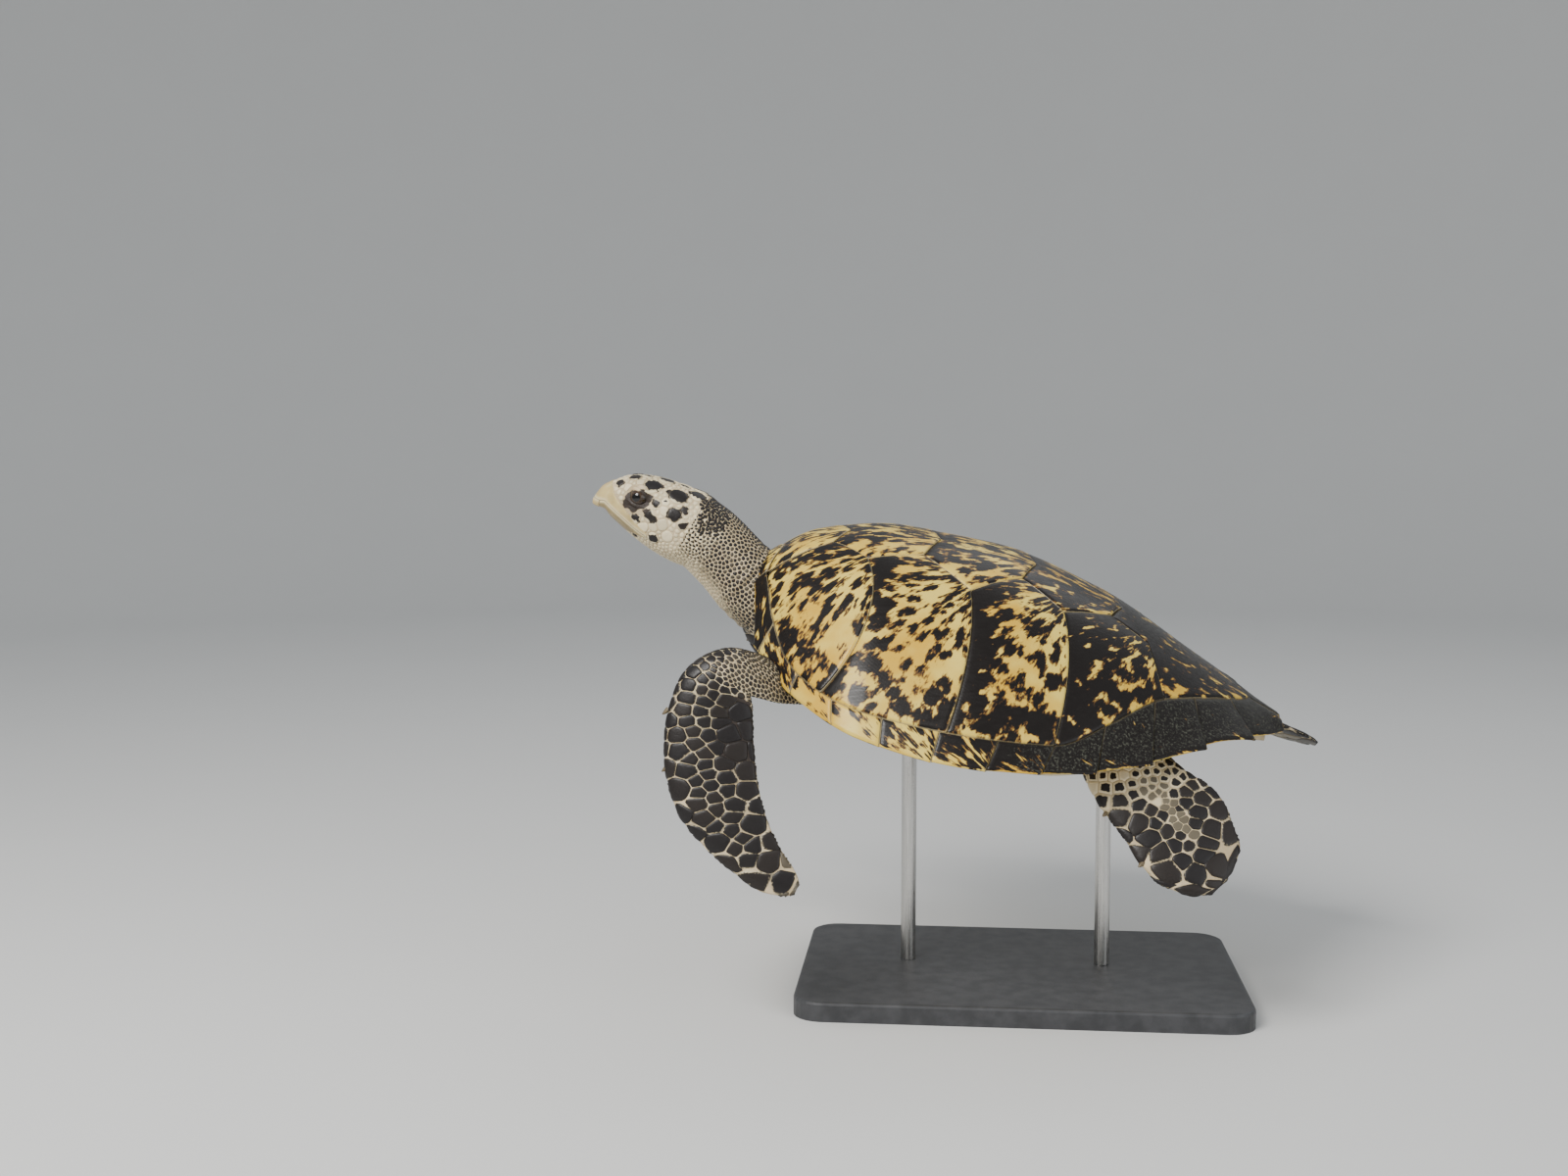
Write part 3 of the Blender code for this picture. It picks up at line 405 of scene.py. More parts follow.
def on_both_faces(values):
    """Numbers of a grid twice over, for a plate's outer and inner face."""
    return np.concatenate([values.reshape(values.shape[0] * values.shape[1], -1)] * 2).squeeze()


def scute_piece(name, s, t, centre, dark, algae):
    """A horny plate: its face lies a little under the shell line, is bevelled at the seams, sinks
    at its front edge and lifts at its rear one, each by an exponential of the distance from the
    edge; streak coordinates fan out from its growth centre."""
    ground = shell_point(s, t)
    normal = shell_normal(s, t)
    away = edge_distance(ground)
    near = away.min(axis=2)
    height = -SCUTE_DROP - SCUTE_BEVEL * np.exp(-(near / BEVEL_WIDTH) ** 1.5)
    height += SCUTE_LAP * (np.exp(-away[:, :, 1] / LAP_WIDTH) - 1.3 * np.exp(-away[:, :, 0] / SINK_WIDTH))
    outer = ground + normal * height[:, :, None]
    inner = ground - normal * SCUTE_PLATE
    heart = shell_point(*centre)
    heart = heart + unit(heart - outer.reshape(-1, 3).mean(axis=0)) * GROWTH_CENTRE_BEHIND
    forward = unit(ground[0, ground.shape[1] // 2] - ground[-1, ground.shape[1] // 2])
    far, turn = fan_from(heart, outer, forward, unit(np.cross(shell_normal(*centre), forward)))
    own_number = np.full(far.shape, float(sum(map(ord, name)) % 97))
    facts = {"fan": np.stack([far, turn, own_number], axis=2), "dark": dark, "algae": algae + 0 * far,
             "seam": near * 1000}
    facts = {fact: on_both_faces(values) for fact, values in facts.items()}
    points = np.concatenate([outer.reshape(-1, 3), inner.reshape(-1, 3)])
    turned = np.cross(outer[1, 0] - outer[0, 0], outer[0, 1] - outer[0, 0]) @ normal[0, 0] < 0
    mesh = surface_mesh(name, points, plate_faces(*far.shape, turned=turned).tolist(), facts)
    shown("scute_" + name, mesh, horn_finish, "horn_scute", name)


def piled(tree, ground, *layers):
    """A number plus each pattern times its weight."""
    for pattern, weight in layers:
        ground = sums(tree, "MULTIPLY_ADD", pattern, weight, ground)
    return ground


def horn_look(name, rough, gloss):
    """Tortoiseshell: dark blotches and streaks that fan out over amber horn, thin pale seams, fine
    growth rings, scratches, and a grey-green film of algae where the numbers at the vertices say so."""
    made = finish(name, Coat_Weight=gloss, Coat_Roughness=0.14, Specular_IOR_Level=0.20)
    tree = made.node_tree
    fan = carried(tree, "fan", 1)
    dark, algae, seam = [carried(tree, fact) for fact in ("dark", "algae", "seam")]
    here = place_on(tree)
    blotch = noise(tree, stretched(tree, fan, (46.0, 9.5, 1.0)), 1.0, 2.0, 0.5, 0.45)
    streak = noise(tree, stretched(tree, fan, (105.0, 44.0, 1.0)), 1.0, 2.0, 0.6)
    fleck = noise(tree, here, 95.0, 3.0, 0.6)
    shift = node(tree, "TexNoise", {"Vector": here, "Scale": 60.0, "Detail": 2.0}, output=1)
    spread = stretched(tree, fan, (52.0, 13.0, 1.0))
    bent = node(tree, "VectorMath", {0: shift, 1: (0.55, 0.55, 0.0), 2: spread}, operation="MULTIPLY_ADD")
    spot = node(tree, "TexVoronoi", {"Vector": bent, "Scale": 1.0, "Randomness": 1.0}, output=0)
    level = piled(tree, HORN_GROUND, (streak, 0.70), (spot, -0.75), (blotch, 0.95), (fleck, 0.50),
                  (dark, 1.0))
    amber = mixed(tree, span(tree, noise(tree, here, 17.0, 3.0), 0.35, 0.65), TORTOISE_AMBER, TORTOISE_STRAW)
    browned = mixed(tree, span(tree, level, 1.46, 1.60), amber, TORTOISE_EDGE)
    horn = mixed(tree, span(tree, level, 1.56, 1.66), browned, TORTOISE_DARK)
    line = span(tree, piled(tree, seam, (noise(tree, here, 240.0), 1.1)), 0.95, 1.50, 1.0, 0.0)
    line = sums(tree, "MULTIPLY", line, span(tree, algae, 0.08, 0.50, 0.55, 0.10))
    grain = noise(tree, here, 420.0, 4.0, 0.7)
    film = span(tree, piled(tree, algae, (grain, 1.0)), 1.05, 1.25)
    coloured = mixed(tree, sums(tree, "MULTIPLY", film, 0.65), mixed(tree, line, horn, SEAM_PALE), ALGAE_GREY)
    ring = node(tree, "TexWave", {"Vector": fan, "Scale": 105.0, "Distortion": 4.0, "Detail": 3.0,
                                  "Detail Scale": 0.6}, output=1, bands_direction="X")
    scratch = noise(tree, stretched(tree, here, (60.0, 420.0, 420.0)), 1.0, 3.0)
    growth = sums(tree, "MULTIPLY", film, grain)
    relief = piled(tree, 0.0, (streak, 0.5), (ring, 0.08), (scratch, 0.35), (growth, 1.2))
    gloss_map = span(tree, scratch, 0.3, 0.7, rough - 0.06, rough + 0.10)
    to_shader(made, Base_Color=coloured, Roughness=piled(tree, gloss_map, (film, 0.35)),
              Normal=bumped(tree, relief, HORN_RELIEF))
    return made


horn_finish = horn_look("tortoiseshell_horn", 0.34, 0.12)
for count in range(5):
    grid_s, grid_t = vertebral_grid(count)
    back = np.linspace(0, 1, grid_s.shape[0])[:, None] + 0 * grid_t
    aside_share = np.abs(np.linspace(-1, 1, grid_s.shape[1])) + 0 * grid_t
    centre_s = grid_s[-1, grid_s.shape[1] // 2] - 0.012
    marks = VERTEBRAL_DARKNESS[count] + 0.16 * ease(back, 0.30, 0.0) - 0.14 * ease(aside_share, 0.6, 1.0)
    moss = 0.12 + 0.30 * ease(grid_s, 0.70, 0.92)
    scute_piece("vertebral_%d" % (count + 1), grid_s, grid_t, (centre_s, 0.001), marks, moss)
for side_word, side in (("left", 1), ("right", -1)):
    for count in range(4):
        grid_s, grid_t = costal_grid(count, side)
        back = np.linspace(0, 1, grid_s.shape[0])[:, None] + 0 * grid_t
        out = np.linspace(0, 1, grid_s.shape[1]) + 0 * grid_t
        row, column = int(0.93 * grid_s.shape[0]), int(0.06 * grid_s.shape[1])
        band = COSTAL_FRONT_BAND[count] * ease(back, 0.34, 0.02) * ease(out, 1.1, 0.5)
        spots = 0.16 * np.exp(-((out - 0.88) / 0.08) ** 2) - 0.10 * np.exp(-((out - 0.72) / 0.10) ** 2)
        marks = COSTAL_DARKNESS[count] + band + spots * COSTAL_OUTER_SPOTS[count]
        marks = marks + 0.10 * ease(out, 0.30, 0.0)
        moss = 0.10 + 0.30 * ease(out, 0.80, 1.0) * ease(grid_s, 0.30, 0.62) + 0.10 * ease(grid_s, 0.6, 0.8)
        scute_piece("costal_%d_%s" % (count + 1, side_word), grid_s, grid_t,
                    (grid_s[row, column], grid_t[row, column]), marks, moss)
grid_s, grid_t = nuchal_grid()
scute_piece("nuchal", grid_s, grid_t, (grid_s[-1, NUCHAL_COLUMNS // 2], 0.001), 0.06 + 0 * grid_t,
            0.12 + 0 * grid_t)

# ---------------------------------------------------------------------------------------------
# Marginal scutes: twelve wedge-shaped plates a side that clasp the rim of the shell. They are
# smooth and pale towards the neck, and turn into overlapping dark saw teeth towards the tail.
MARGINAL_ROWS, MARGINAL_COLUMNS = 34, 26
MARGINAL_SEAM = 0.0003
MARGINAL_SEAMS = (0.065, 0.130, 0.200, 0.275, 0.353, 0.433, 0.515, 0.597, 0.679, 0.761, 0.841, 0.919, 1.0)
MARGINAL_DEPTH = ((0.0, 0.006), (0.15, 0.009), (0.25, 0.016), (0.33, 0.024), (0.62, 0.024),
                  (0.72, 0.014), (0.80, 0.009), (1.0, 0.006))
RIM_THICKNESS = 0.0020
MIDLINE_GAP = 0.0002
SERRATION = ((0.0, 0.0), (0.35, 0.001), (0.60, 0.004), (0.80, 0.009), (0.92, 0.013), (1.0, 0.009))
MARGINAL_DARKNESS = (0.24, 0.06, -0.20, -0.20, -0.06, 0.10, 0.26, 0.40, 0.46, 0.50, 0.50, 0.48)
MARGINAL_ALGAE = (0.05, 0.50)


def marginal_plate(number, side, rows=MARGINAL_ROWS, columns=MARGINAL_COLUMNS):
    """One marginal: its top runs out along the shell from the inner seam to the saw-edged rim, its
    underside comes back in, thickening towards the bridge; the rear end laps over the next plate."""
    ends = MARGINAL_SEAMS[number:number + 2]
    share = np.linspace(0, 1, rows)[:, None]
    out = np.linspace(0, 1, columns)
    r = (ends[0] + (ends[1] - ends[0]) * share)[:, 0]
    rim_s, rim_t = outer_rim(r)
    ring_s, ring_t = inner_ring(r)
    away = shell_point(rim_s, rim_t) - shell_point(ring_s, ring_t)
    away[:, 2] *= 0.3
    away = unit(away)
    s = ring_s[:, None] * (1 - out) + rim_s[:, None] * out
    t = ring_t[:, None] * (1 - out) + rim_t[:, None] * out
    top = shell_point(s, t)
    normal = shell_normal(s, np.clip(t, -0.97, 0.97))
    saw = smooth(SERRATION, r)
    tooth = saw * np.minimum(share[:, 0], 0.97) ** 1.6 - 0.0015 * (saw > 0.003) * ease(share[:, 0], 0.94, 1.0)
    top = top + away[:, None] * (tooth[:, None] * out ** 2)[:, :, None]
    lap = 0.10 + saw / 0.009
    slope = ease(share, 0.5, 1.0) - 1.2 * ease(share, 0.35, 0.0)
    lift = -SCUTE_DROP + SCUTE_LAP * lap[:, None] * slope * ease(out, 0.1, 0.6)
    near = np.minimum(np.minimum(share, 1 - share) * 0.055, out * 0.03)
    lift = lift - 0.0010 * np.exp(-(near / 0.0015) ** 1.5) - 0.0010 * ease(out, 0.90, 1.0)
    inner_gap = away[:, None] * (MARGINAL_SEAM * (1 - out))[:, None]
    top = top + normal * lift[:, :, None] + inner_gap
    rim = top[:, -1:]
    upward = np.array([0.0, 0.0, 1.0])
    root = shell_point(ring_s, ring_t)[:, None] - upward * smooth(MARGINAL_DEPTH, r)[:, None, None]
    inward = (1 - out)[None, :, None]
    below = (rim - upward * RIM_THICKNESS) * (1 - inward) + root * inward
    below = below + upward * (0.0009 * ease(out, 0.90, 1.0))[None, :, None]
    for sheet in (top, below):
        sheet[0] += (sheet[1] - sheet[0]) * 0.15
        sheet[-1] += (sheet[-2] - sheet[-1]) * 0.15
        sheet[:, :, 1] = np.minimum(sheet[:, :, 1], -MIDLINE_GAP)
    heart = top[-2, -2] + unit(top[-2, -2] - top.reshape(-1, 3).mean(axis=0)) * 0.7 * GROWTH_CENTRE_BEHIND
    forward = unit(top[0, 0] - heart)
    far, turn = fan_from(heart, top, forward, unit(np.cross(normal[-2, -2], forward)))
    seam_spot = 0.34 * np.exp(-((share - 0.02) / 0.13) ** 2) * ease(out, 0.95, 0.35)
    dark = MARGINAL_DARKNESS[number] + seam_spot + 0.10 * ease(out, 0.5, 0.0) - 0.30 * ease(out, 0.965, 1.0)
    dark_below = -0.42 + 0.62 * np.exp(-((share - 0.85) / 0.22) ** 2) * ease(out, 0.15, 0.75) + 0 * far
    moss = (MARGINAL_ALGAE[0] + MARGINAL_ALGAE[1] * ease(r, 0.36, 0.60))[:, None] + 0 * far
    moss = moss * ease(out, 1.02, 0.93)
    fan = np.stack([far, turn, 0 * far + 3.1 * number + side], axis=2)
    facts = {"fan": (fan, fan), "dark": (dark, dark_below), "algae": (moss, 0.4 * moss),
             "seam": (near * 1000, near * 1000 + 1)}
    points = np.stack([top, below]) * np.array([1.0, side, 1.0])
    return points, {key: np.concatenate([part.reshape(far.size, -1) for part in pair])
                    for key, pair in facts.items()}


def joined(parts, faces_of):
    """Several point sets with their faces and facts run together into one."""
    start, points, faces, facts = 0, [], [], []
    for part_points, part_facts in parts:
        flat = part_points.reshape(-1, 3)
        points.append(flat)
        faces.extend((faces_of + start).tolist())
        facts.append(part_facts)
        start += len(flat)
    return np.concatenate(points), faces, {key: np.concatenate([one[key] for one in facts]).squeeze()
                                           for key in facts[0]}


rim_finish = horn_look("rim_horn", 0.36, 0.12)
for side_word, side in (("left", 1), ("right", -1)):
    plates = [marginal_plate(number, side) for number in range(12)]
    points, faces, facts = joined(plates, plate_faces(MARGINAL_ROWS, MARGINAL_COLUMNS, turned=side > 0))
    mesh = surface_mesh("marginals_" + side_word, points, faces, facts)
    shown("marginals_" + side_word, mesh, rim_finish, "rim_scute", "marginal_rim_" + side_word)

# ---------------------------------------------------------------------------------------------
# Plastron: the flat belly shield of paired horny scutes with a bridge on each side, pale yellow
# with smoky blotches; a groove runs down the middle and between each pair.
BELLY_HEIGHT = ((0.0, -0.026), (0.10, -0.048), (0.18, -0.060), (0.28, -0.067), (0.45, -0.070),
                (0.65, -0.065), (0.78, -0.040), (0.87, -0.019), (TAIL_STATION, -0.010))
BELLY_ROUNDNESS = 3.6
PLASTRON_HALF_WIDTH = ((0.125, 0.030), (0.15, 0.072), (0.19, 0.104), (0.24, 0.135), (0.275, 0.170),
                       (0.31, 0.230), (0.39, 0.230), (0.48, 0.230), (0.57, 0.230), (0.615, 0.165),
                       (0.65, 0.132), (0.72, 0.112), (0.78, 0.080), (0.82, 0.050), (0.85, 0.034),
                       (0.875, 0.014))
PLASTRON_PLATE = 0.005
BELLY_SEAMS = (0.175, 0.265, 0.37, 0.49, 0.615, 0.75)
SEAM_BOW = 0.016
BRIDGE_SEAM_OUT = 0.124
BRIDGE_SPAN = (0.29, 0.60)
BELLY_YELLOW = (0.700, 0.560, 0.300)
BELLY_CREAM = (0.780, 0.690, 0.470)
BELLY_SMOKE = (0.120, 0.075, 0.040)
BELLY_GROOVE = (0.200, 0.130, 0.070)


def body_half_width(s):
    """Half width at the inner edge of the marginal ring, at a station along the shell."""
    ring_s, ring_t = inner_ring(np.linspace(INNER_RING[2][0], 1, 200))
    return np.interp(s, ring_s, ring_t * smooth(HALF_WIDTH, ring_s))


def belly_height(s, y):
    """Underside of the plastron: flat along the middle, rounding up to the rim at the sides."""
    middle = smooth(BELLY_HEIGHT, s)
    out = np.clip(np.abs(y) / body_half_width(s), 0, 1)
    return middle + (smooth(RIM_HEIGHT, s) - middle) * out ** BELLY_ROUNDNESS


def plastron_piece(rows=190, columns=150):
    """The belly shield as one plate: grooves are dug along the middle, the cross seams, which bow
    towards the tail, and the line between the paired scutes and the bridge scutes."""
    s = np.linspace(PLASTRON_HALF_WIDTH[0][0], PLASTRON_HALF_WIDTH[-1][0], rows)[:, None]
    half = np.minimum(smooth(PLASTRON_HALF_WIDTH, s), body_half_width(s) - 0.0008)
    share = np.linspace(-1, 1, columns)
    y = half * share
    x = (s - 0.5) * STATION_LENGTH + 0 * y
    bow = SEAM_BOW * (1 - (np.abs(y) / 0.16) ** 2)
    cross = np.min([np.abs(x - ((seam - 0.5) * STATION_LENGTH + bow)) for seam in BELLY_SEAMS], axis=0)
    on_bridge = (s > BRIDGE_SPAN[0]) & (s < BRIDGE_SPAN[1])
    bridge = np.where(on_bridge, np.abs(np.abs(y) - BRIDGE_SEAM_OUT), 1.0)
    near = np.minimum(np.minimum(cross, np.abs(y) + 0 * x), bridge)
    edge = np.minimum((1 - np.abs(share)) * half, np.minimum(s - s[0], s[-1] - s) * STATION_LENGTH)
    dip = 0.0013 * np.exp(-(near / 0.0017) ** 2) + 0.0018 * np.exp(-(edge / 0.002) ** 2)
    under = np.stack([x, y, belly_height(s, y) + 0.0004 + dip], axis=-1)
    above = np.stack([x, y, belly_height(s, y) + PLASTRON_PLATE], axis=-1)
    index = np.sum([x > (seam - 0.5) * STATION_LENGTH + bow for seam in BELLY_SEAMS], axis=0)
    own_number = index * 3.7 + np.sign(y) * 11.0
    facts = {"scute": on_both_faces(np.stack([x * 20, y * 20, own_number], axis=2)),
             "seam": on_both_faces(near * 1000)}
    points = np.concatenate([under.reshape(-1, 3), above.reshape(-1, 3)])
    return surface_mesh("plastron_scutes", points, plate_faces(rows, columns, turned=True).tolist(), facts)


def belly_look():
    """Pale yellow horn with smoky clouds in each scute and brown lines in the grooves."""
    made = finish("plastron_horn", Coat_Weight=0.15, Coat_Roughness=0.3)
    tree = made.node_tree
    here = place_on(tree)
    cloud = noise(tree, carried(tree, "scute", 1), 0.9, 4.0, 0.55, 0.4)
    fine = noise(tree, here, 130.0, 4.0, 0.6)
    ground = mixed(tree, span(tree, noise(tree, here, 22.0), 0.3, 0.7), BELLY_YELLOW, BELLY_CREAM)
    smoke = span(tree, piled(tree, cloud, (fine, 0.35)), 0.76, 0.92, 0.0, 0.8)
    groove = span(tree, carried(tree, "seam"), 0.4, 1.6, 0.75, 0.0)
    grooved = mixed(tree, groove, mixed(tree, smoke, ground, BELLY_SMOKE), BELLY_GROOVE)
    to_shader(made, Base_Color=grooved, Roughness=span(tree, fine, 0.2, 0.8, 0.34, 0.55),
              Normal=bumped(tree, fine, 0.0003))
    return made


shown("plastron_scutes", plastron_piece(), belly_look(), "plastron_scute", "plastron")

# ---------------------------------------------------------------------------------------------
# Skin: one continuous hide over head, neck, trunk, flippers and tail. Each part is a skin
# stretched over sections; the parts are fused and the joins between them worked smooth.
COAT_DEPTH = 0.0009
# Stations of the head: how far along, then crown, widest level, throat and half width there.
HEAD = ((-0.4805, 0.0880, 0.0855, 0.0822, 0.0030), (-0.4775, 0.0945, 0.0870, 0.0806, 0.0070),
        (-0.4730, 0.1025, 0.0895, 0.0800, 0.0112), (-0.4660, 0.1085, 0.0905, 0.0795, 0.0160),
        (-0.4580, 0.1140, 0.0900, 0.0730, 0.0205), (-0.4480, 0.1195, 0.0890, 0.0670, 0.0253),
        (-0.4360, 0.1230, 0.0870, 0.0600, 0.0300), (-0.4220, 0.1242, 0.0840, 0.0525, 0.0338),
        (-0.4060, 0.1236, 0.0810, 0.0455, 0.0368), (-0.3900, 0.1218, 0.0785, 0.0400, 0.0384),
        (-0.3740, 0.1190, 0.0770, 0.0368, 0.0386), (-0.3600, 0.1160, 0.0755, 0.0360, 0.0380),
        (-0.3480, 0.1090, 0.0735, 0.0385, 0.0340), (-0.3390, 0.0970, 0.0715, 0.0460, 0.0250),
        (-0.3350, 0.0850, 0.0705, 0.0560, 0.0130))
HEAD_SQUARENESS = 2.15
EYE_CENTRE = (-0.4280, 0.0220, 0.1045)
EYE_AXIS = (-0.22, 1.0, 0.16)
EYE_TILT = math.radians(-14.0)
LID_RADIUS = 0.0120
EYE_FLOOR = 0.0080
EYE_OPENING = (0.98, 0.64)
NOSTRIL = (-0.4600, 0.0052, 0.1125)
NOSTRIL_DEPTH = 0.0022
NOSTRIL_RADIUS = 0.0016
# Stations of the neck: the middle, along and up, then half width and half height there.
NECK = (((-0.235, 0.004), 0.050, 0.044), ((-0.275, 0.020), 0.049, 0.043), ((-0.303, 0.0345), 0.045, 0.041),
        ((-0.325, 0.0505), 0.0415, 0.0390), ((-0.343, 0.0635), 0.0395, 0.0390),
        ((-0.358, 0.0725), 0.0382, 0.0392), ((-0.372, 0.0775), 0.0370, 0.0390))
TRUNK_STATIONS = (0.045, 0.865)
TRUNK_BELOW_SHELL = 0.0075
TRUNK_ABOVE_PLASTRON = 0.0060
FRONT_PLANE_ORIGIN = (-0.170, 0.020)
FRONT_PLANE_LEAN = math.radians(26.0)
# Stations of a flipper in its leaning plane: leading edge, along and down, trailing edge, along and
# down, how far it is set in towards the body, and half thickness.
FRONT_FLIPPER = ((-0.2380, 0.004, -0.1880, 0.026, 0.094, 0.017),
                 (-0.2600, -0.002, -0.2080, 0.038, 0.052, 0.021),
                 (-0.2860, 0.001, -0.2360, 0.046, 0.018, 0.019), (-0.3150, 0.019, -0.2590, 0.047, 0.002, 0.016),
                 (-0.3340, 0.050, -0.2555, 0.055, 0.0, 0.0135), (-0.3375, 0.085, -0.2510, 0.072, 0.0, 0.0115),
                 (-0.3320, 0.115, -0.2440, 0.097, 0.0, 0.0100), (-0.3200, 0.145, -0.2355, 0.121, 0.0, 0.0088),
                 (-0.3010, 0.174, -0.2260, 0.143, 0.0, 0.0075), (-0.2700, 0.198, -0.2120, 0.166, 0.0, 0.0062),
                 (-0.2360, 0.216, -0.1980, 0.183, 0.0, 0.0050), (-0.2050, 0.2275, -0.1840, 0.196, 0.0, 0.0036),
                 (-0.1860, 0.2265, -0.1765, 0.205, 0.0, 0.0022), (-0.1770, 0.2225, -0.1738, 0.211, 0.0, 0.0013))
HIND_PLANE_ORIGIN = (-0.150, -0.025)
HIND_PLANE_LEAN = math.radians(43.4)
HIND_FLIPPER = ((0.040, -0.075, 0.118, -0.085, 0.040, 0.019), (0.046, -0.040, 0.135, -0.055, 0.022, 0.0175),
                (0.054, -0.008, 0.150, -0.030, 0.006, 0.0150), (0.0690, 0.0230, 0.1690, -0.0120, 0.0, 0.0115),
                (0.0960, 0.0510, 0.1900, -0.0020, 0.0, 0.0092), (0.1200, 0.0740, 0.2080, 0.0120, 0.0, 0.0078),
                (0.1400, 0.0970, 0.2200, 0.0340, 0.0, 0.0066), (0.1600, 0.1105, 0.2290, 0.0550, 0.0, 0.0052),
                (0.1860, 0.1140, 0.2260, 0.0740, 0.0, 0.0038), (0.2070, 0.1080, 0.2200, 0.0900, 0.0, 0.0020))
HIND_KNEE = 3 / 9
# A right limb is the left one mirrored, after it is turned about a point by degrees and shifted.
RIGHT_FRONT_SWING = ((-0.250, 0.0, 0.020), (0.0, -5.5, 0.0), (0.0, 0.0, 0.0))
RIGHT_HIND_SWING = ((0.079, -0.066, 0.006), (-25.0, -10.0, 45.0), (0.029, 0.007, -0.037))
RIGHT_THIGH_RISE = 0.035
FLIPPER_SQUARENESS = 1.75
TAIL = (((0.196, -0.008), 0.018), ((0.219, -0.009), 0.015), ((0.242, -0.011), 0.0105),
        ((0.260, -0.0135), 0.005))
FULL_SECTION = 256
# The part of the skin's unrolled map that each part of the hide takes up: two opposite corners.
SKIN_PATCH = {"head": (0.005, 0.455, 0.495, 0.805), "neck": (0.510, 0.620, 0.995, 0.995),
              "trunk": (0.640, 0.320, 0.990, 0.600), "arm_left": (0.005, 0.005, 0.250, 0.445),
              "arm_right": (0.260, 0.005, 0.505, 0.445), "hind_left": (0.520, 0.005, 0.750, 0.300),
              "hind_right": (0.760, 0.005, 0.990, 0.300), "tail": (0.520, 0.320, 0.620, 0.440)}
SKIN_CREAM = (0.640, 0.520, 0.330)
SKIN_SAND = (0.430, 0.340, 0.205)
SKIN_DARK = (0.034, 0.025, 0.020)
SKIN_PEBBLES = 620.0
SKIN_RELIEF = 0.00035


def full_turn(count):
    """Angles spread evenly round a circle."""
    return np.linspace(0, 2 * math.pi, count, endpoint=False)


def superellipse(turn, squareness):
    """Across and up shares of a rounded section: cosine and sine of a turn, each to the power of two
    over the squareness, with their signs kept."""
    across = np.sign(np.cos(turn)) * np.abs(np.cos(turn)) ** (2 / squareness)
    up = np.sign(np.sin(turn)) * np.abs(np.sin(turn)) ** (2 / squareness)
    return across, up


def evened(rings, count):
    """Closed rings with their points spread evenly round each one, from the same start."""
    closed = np.concatenate([rings, rings[:, :1]], axis=1)
    stretches = np.linalg.norm(np.diff(closed, axis=1), axis=2)
    run = np.concatenate([np.zeros((len(rings), 1)), np.cumsum(stretches, axis=1)], axis=1)
    made = np.empty((len(rings), count, 3))
    for ring in range(len(rings)):
        at = np.linspace(0, run[ring, -1], count, endpoint=False)
        for axis in range(3):
            made[ring, :, axis] = np.interp(at, run[ring], closed[ring, :, axis])
    return made


def table_curve(table, count):
    """Rows of a table drawn out into a smooth run of rows, evenly spread over the given ones."""
    table = np.array(table, dtype=float)
    keyed = np.concatenate([np.arange(len(table))[:, None], table], axis=1)
    at = np.linspace(0, len(table) - 1, count)
    return np.stack([smooth(keyed, at, column) for column in range(1, keyed.shape[1])], axis=1)


def head_rings(x, swell=0.0, turn=full_turn(FULL_SECTION)):
    """Sections across the head at stations x, each grown by swell: the half width times the across
    share, and above or below the widest level the distance to crown or throat times the up share."""
    across, up = superellipse(turn, HEAD_SQUARENESS)
    top, level, bottom, half = [smooth(HEAD, x, column)[:, None] for column in (1, 2, 3, 4)]
    rise = np.where(up > 0, (top + swell - level) * up, (level - bottom + swell) * up)
    return np.stack([x[:, None] + 0 * up, (half + swell) * across, level + rise], axis=-1)


def head_place(behind, turn):
    """A place on the right of the head: millimetres behind the beak's tip, degrees up from the side."""
    station = HEAD[0][0] + behind / 1000
    return head_rings(np.array([station]), turn=np.radians([turn]))[0, 0]


def eye_frame(side):
    """Centre of an eye, the way it looks out, and its long and short way across."""
    centre = np.array(EYE_CENTRE) * np.array([1.0, side, 1.0])
    out = unit(np.array(EYE_AXIS) * np.array([1.0, side, 1.0]))
    level = unit(np.cross(out, np.array([0.0, 0.0, 1.0])) * side)
    level = level if level[0] > 0 else -level
    upward = unit(np.cross(out, level))
    upward = upward if upward[2] > 0 else -upward
    long_way = level * math.cos(EYE_TILT) + upward * math.sin(EYE_TILT)
    return centre, out, long_way, upward * math.cos(EYE_TILT) - level * math.sin(EYE_TILT)


def eye_share(points, side):
    """How far out from the middle of the eye opening points lie, as seen from the eye's centre: the
    root of the two squared shares of its half length and half height, so 1 is its edge."""
    centre, out, long_way, short_way = eye_frame(side)
    ray = unit(points - centre)
    facing = ray @ out
    share = np.sqrt((ray @ long_way / EYE_OPENING[0]) ** 2 + (ray @ short_way / EYE_OPENING[1]) ** 2)
    return np.where(facing > 0.05, share, 9.0)


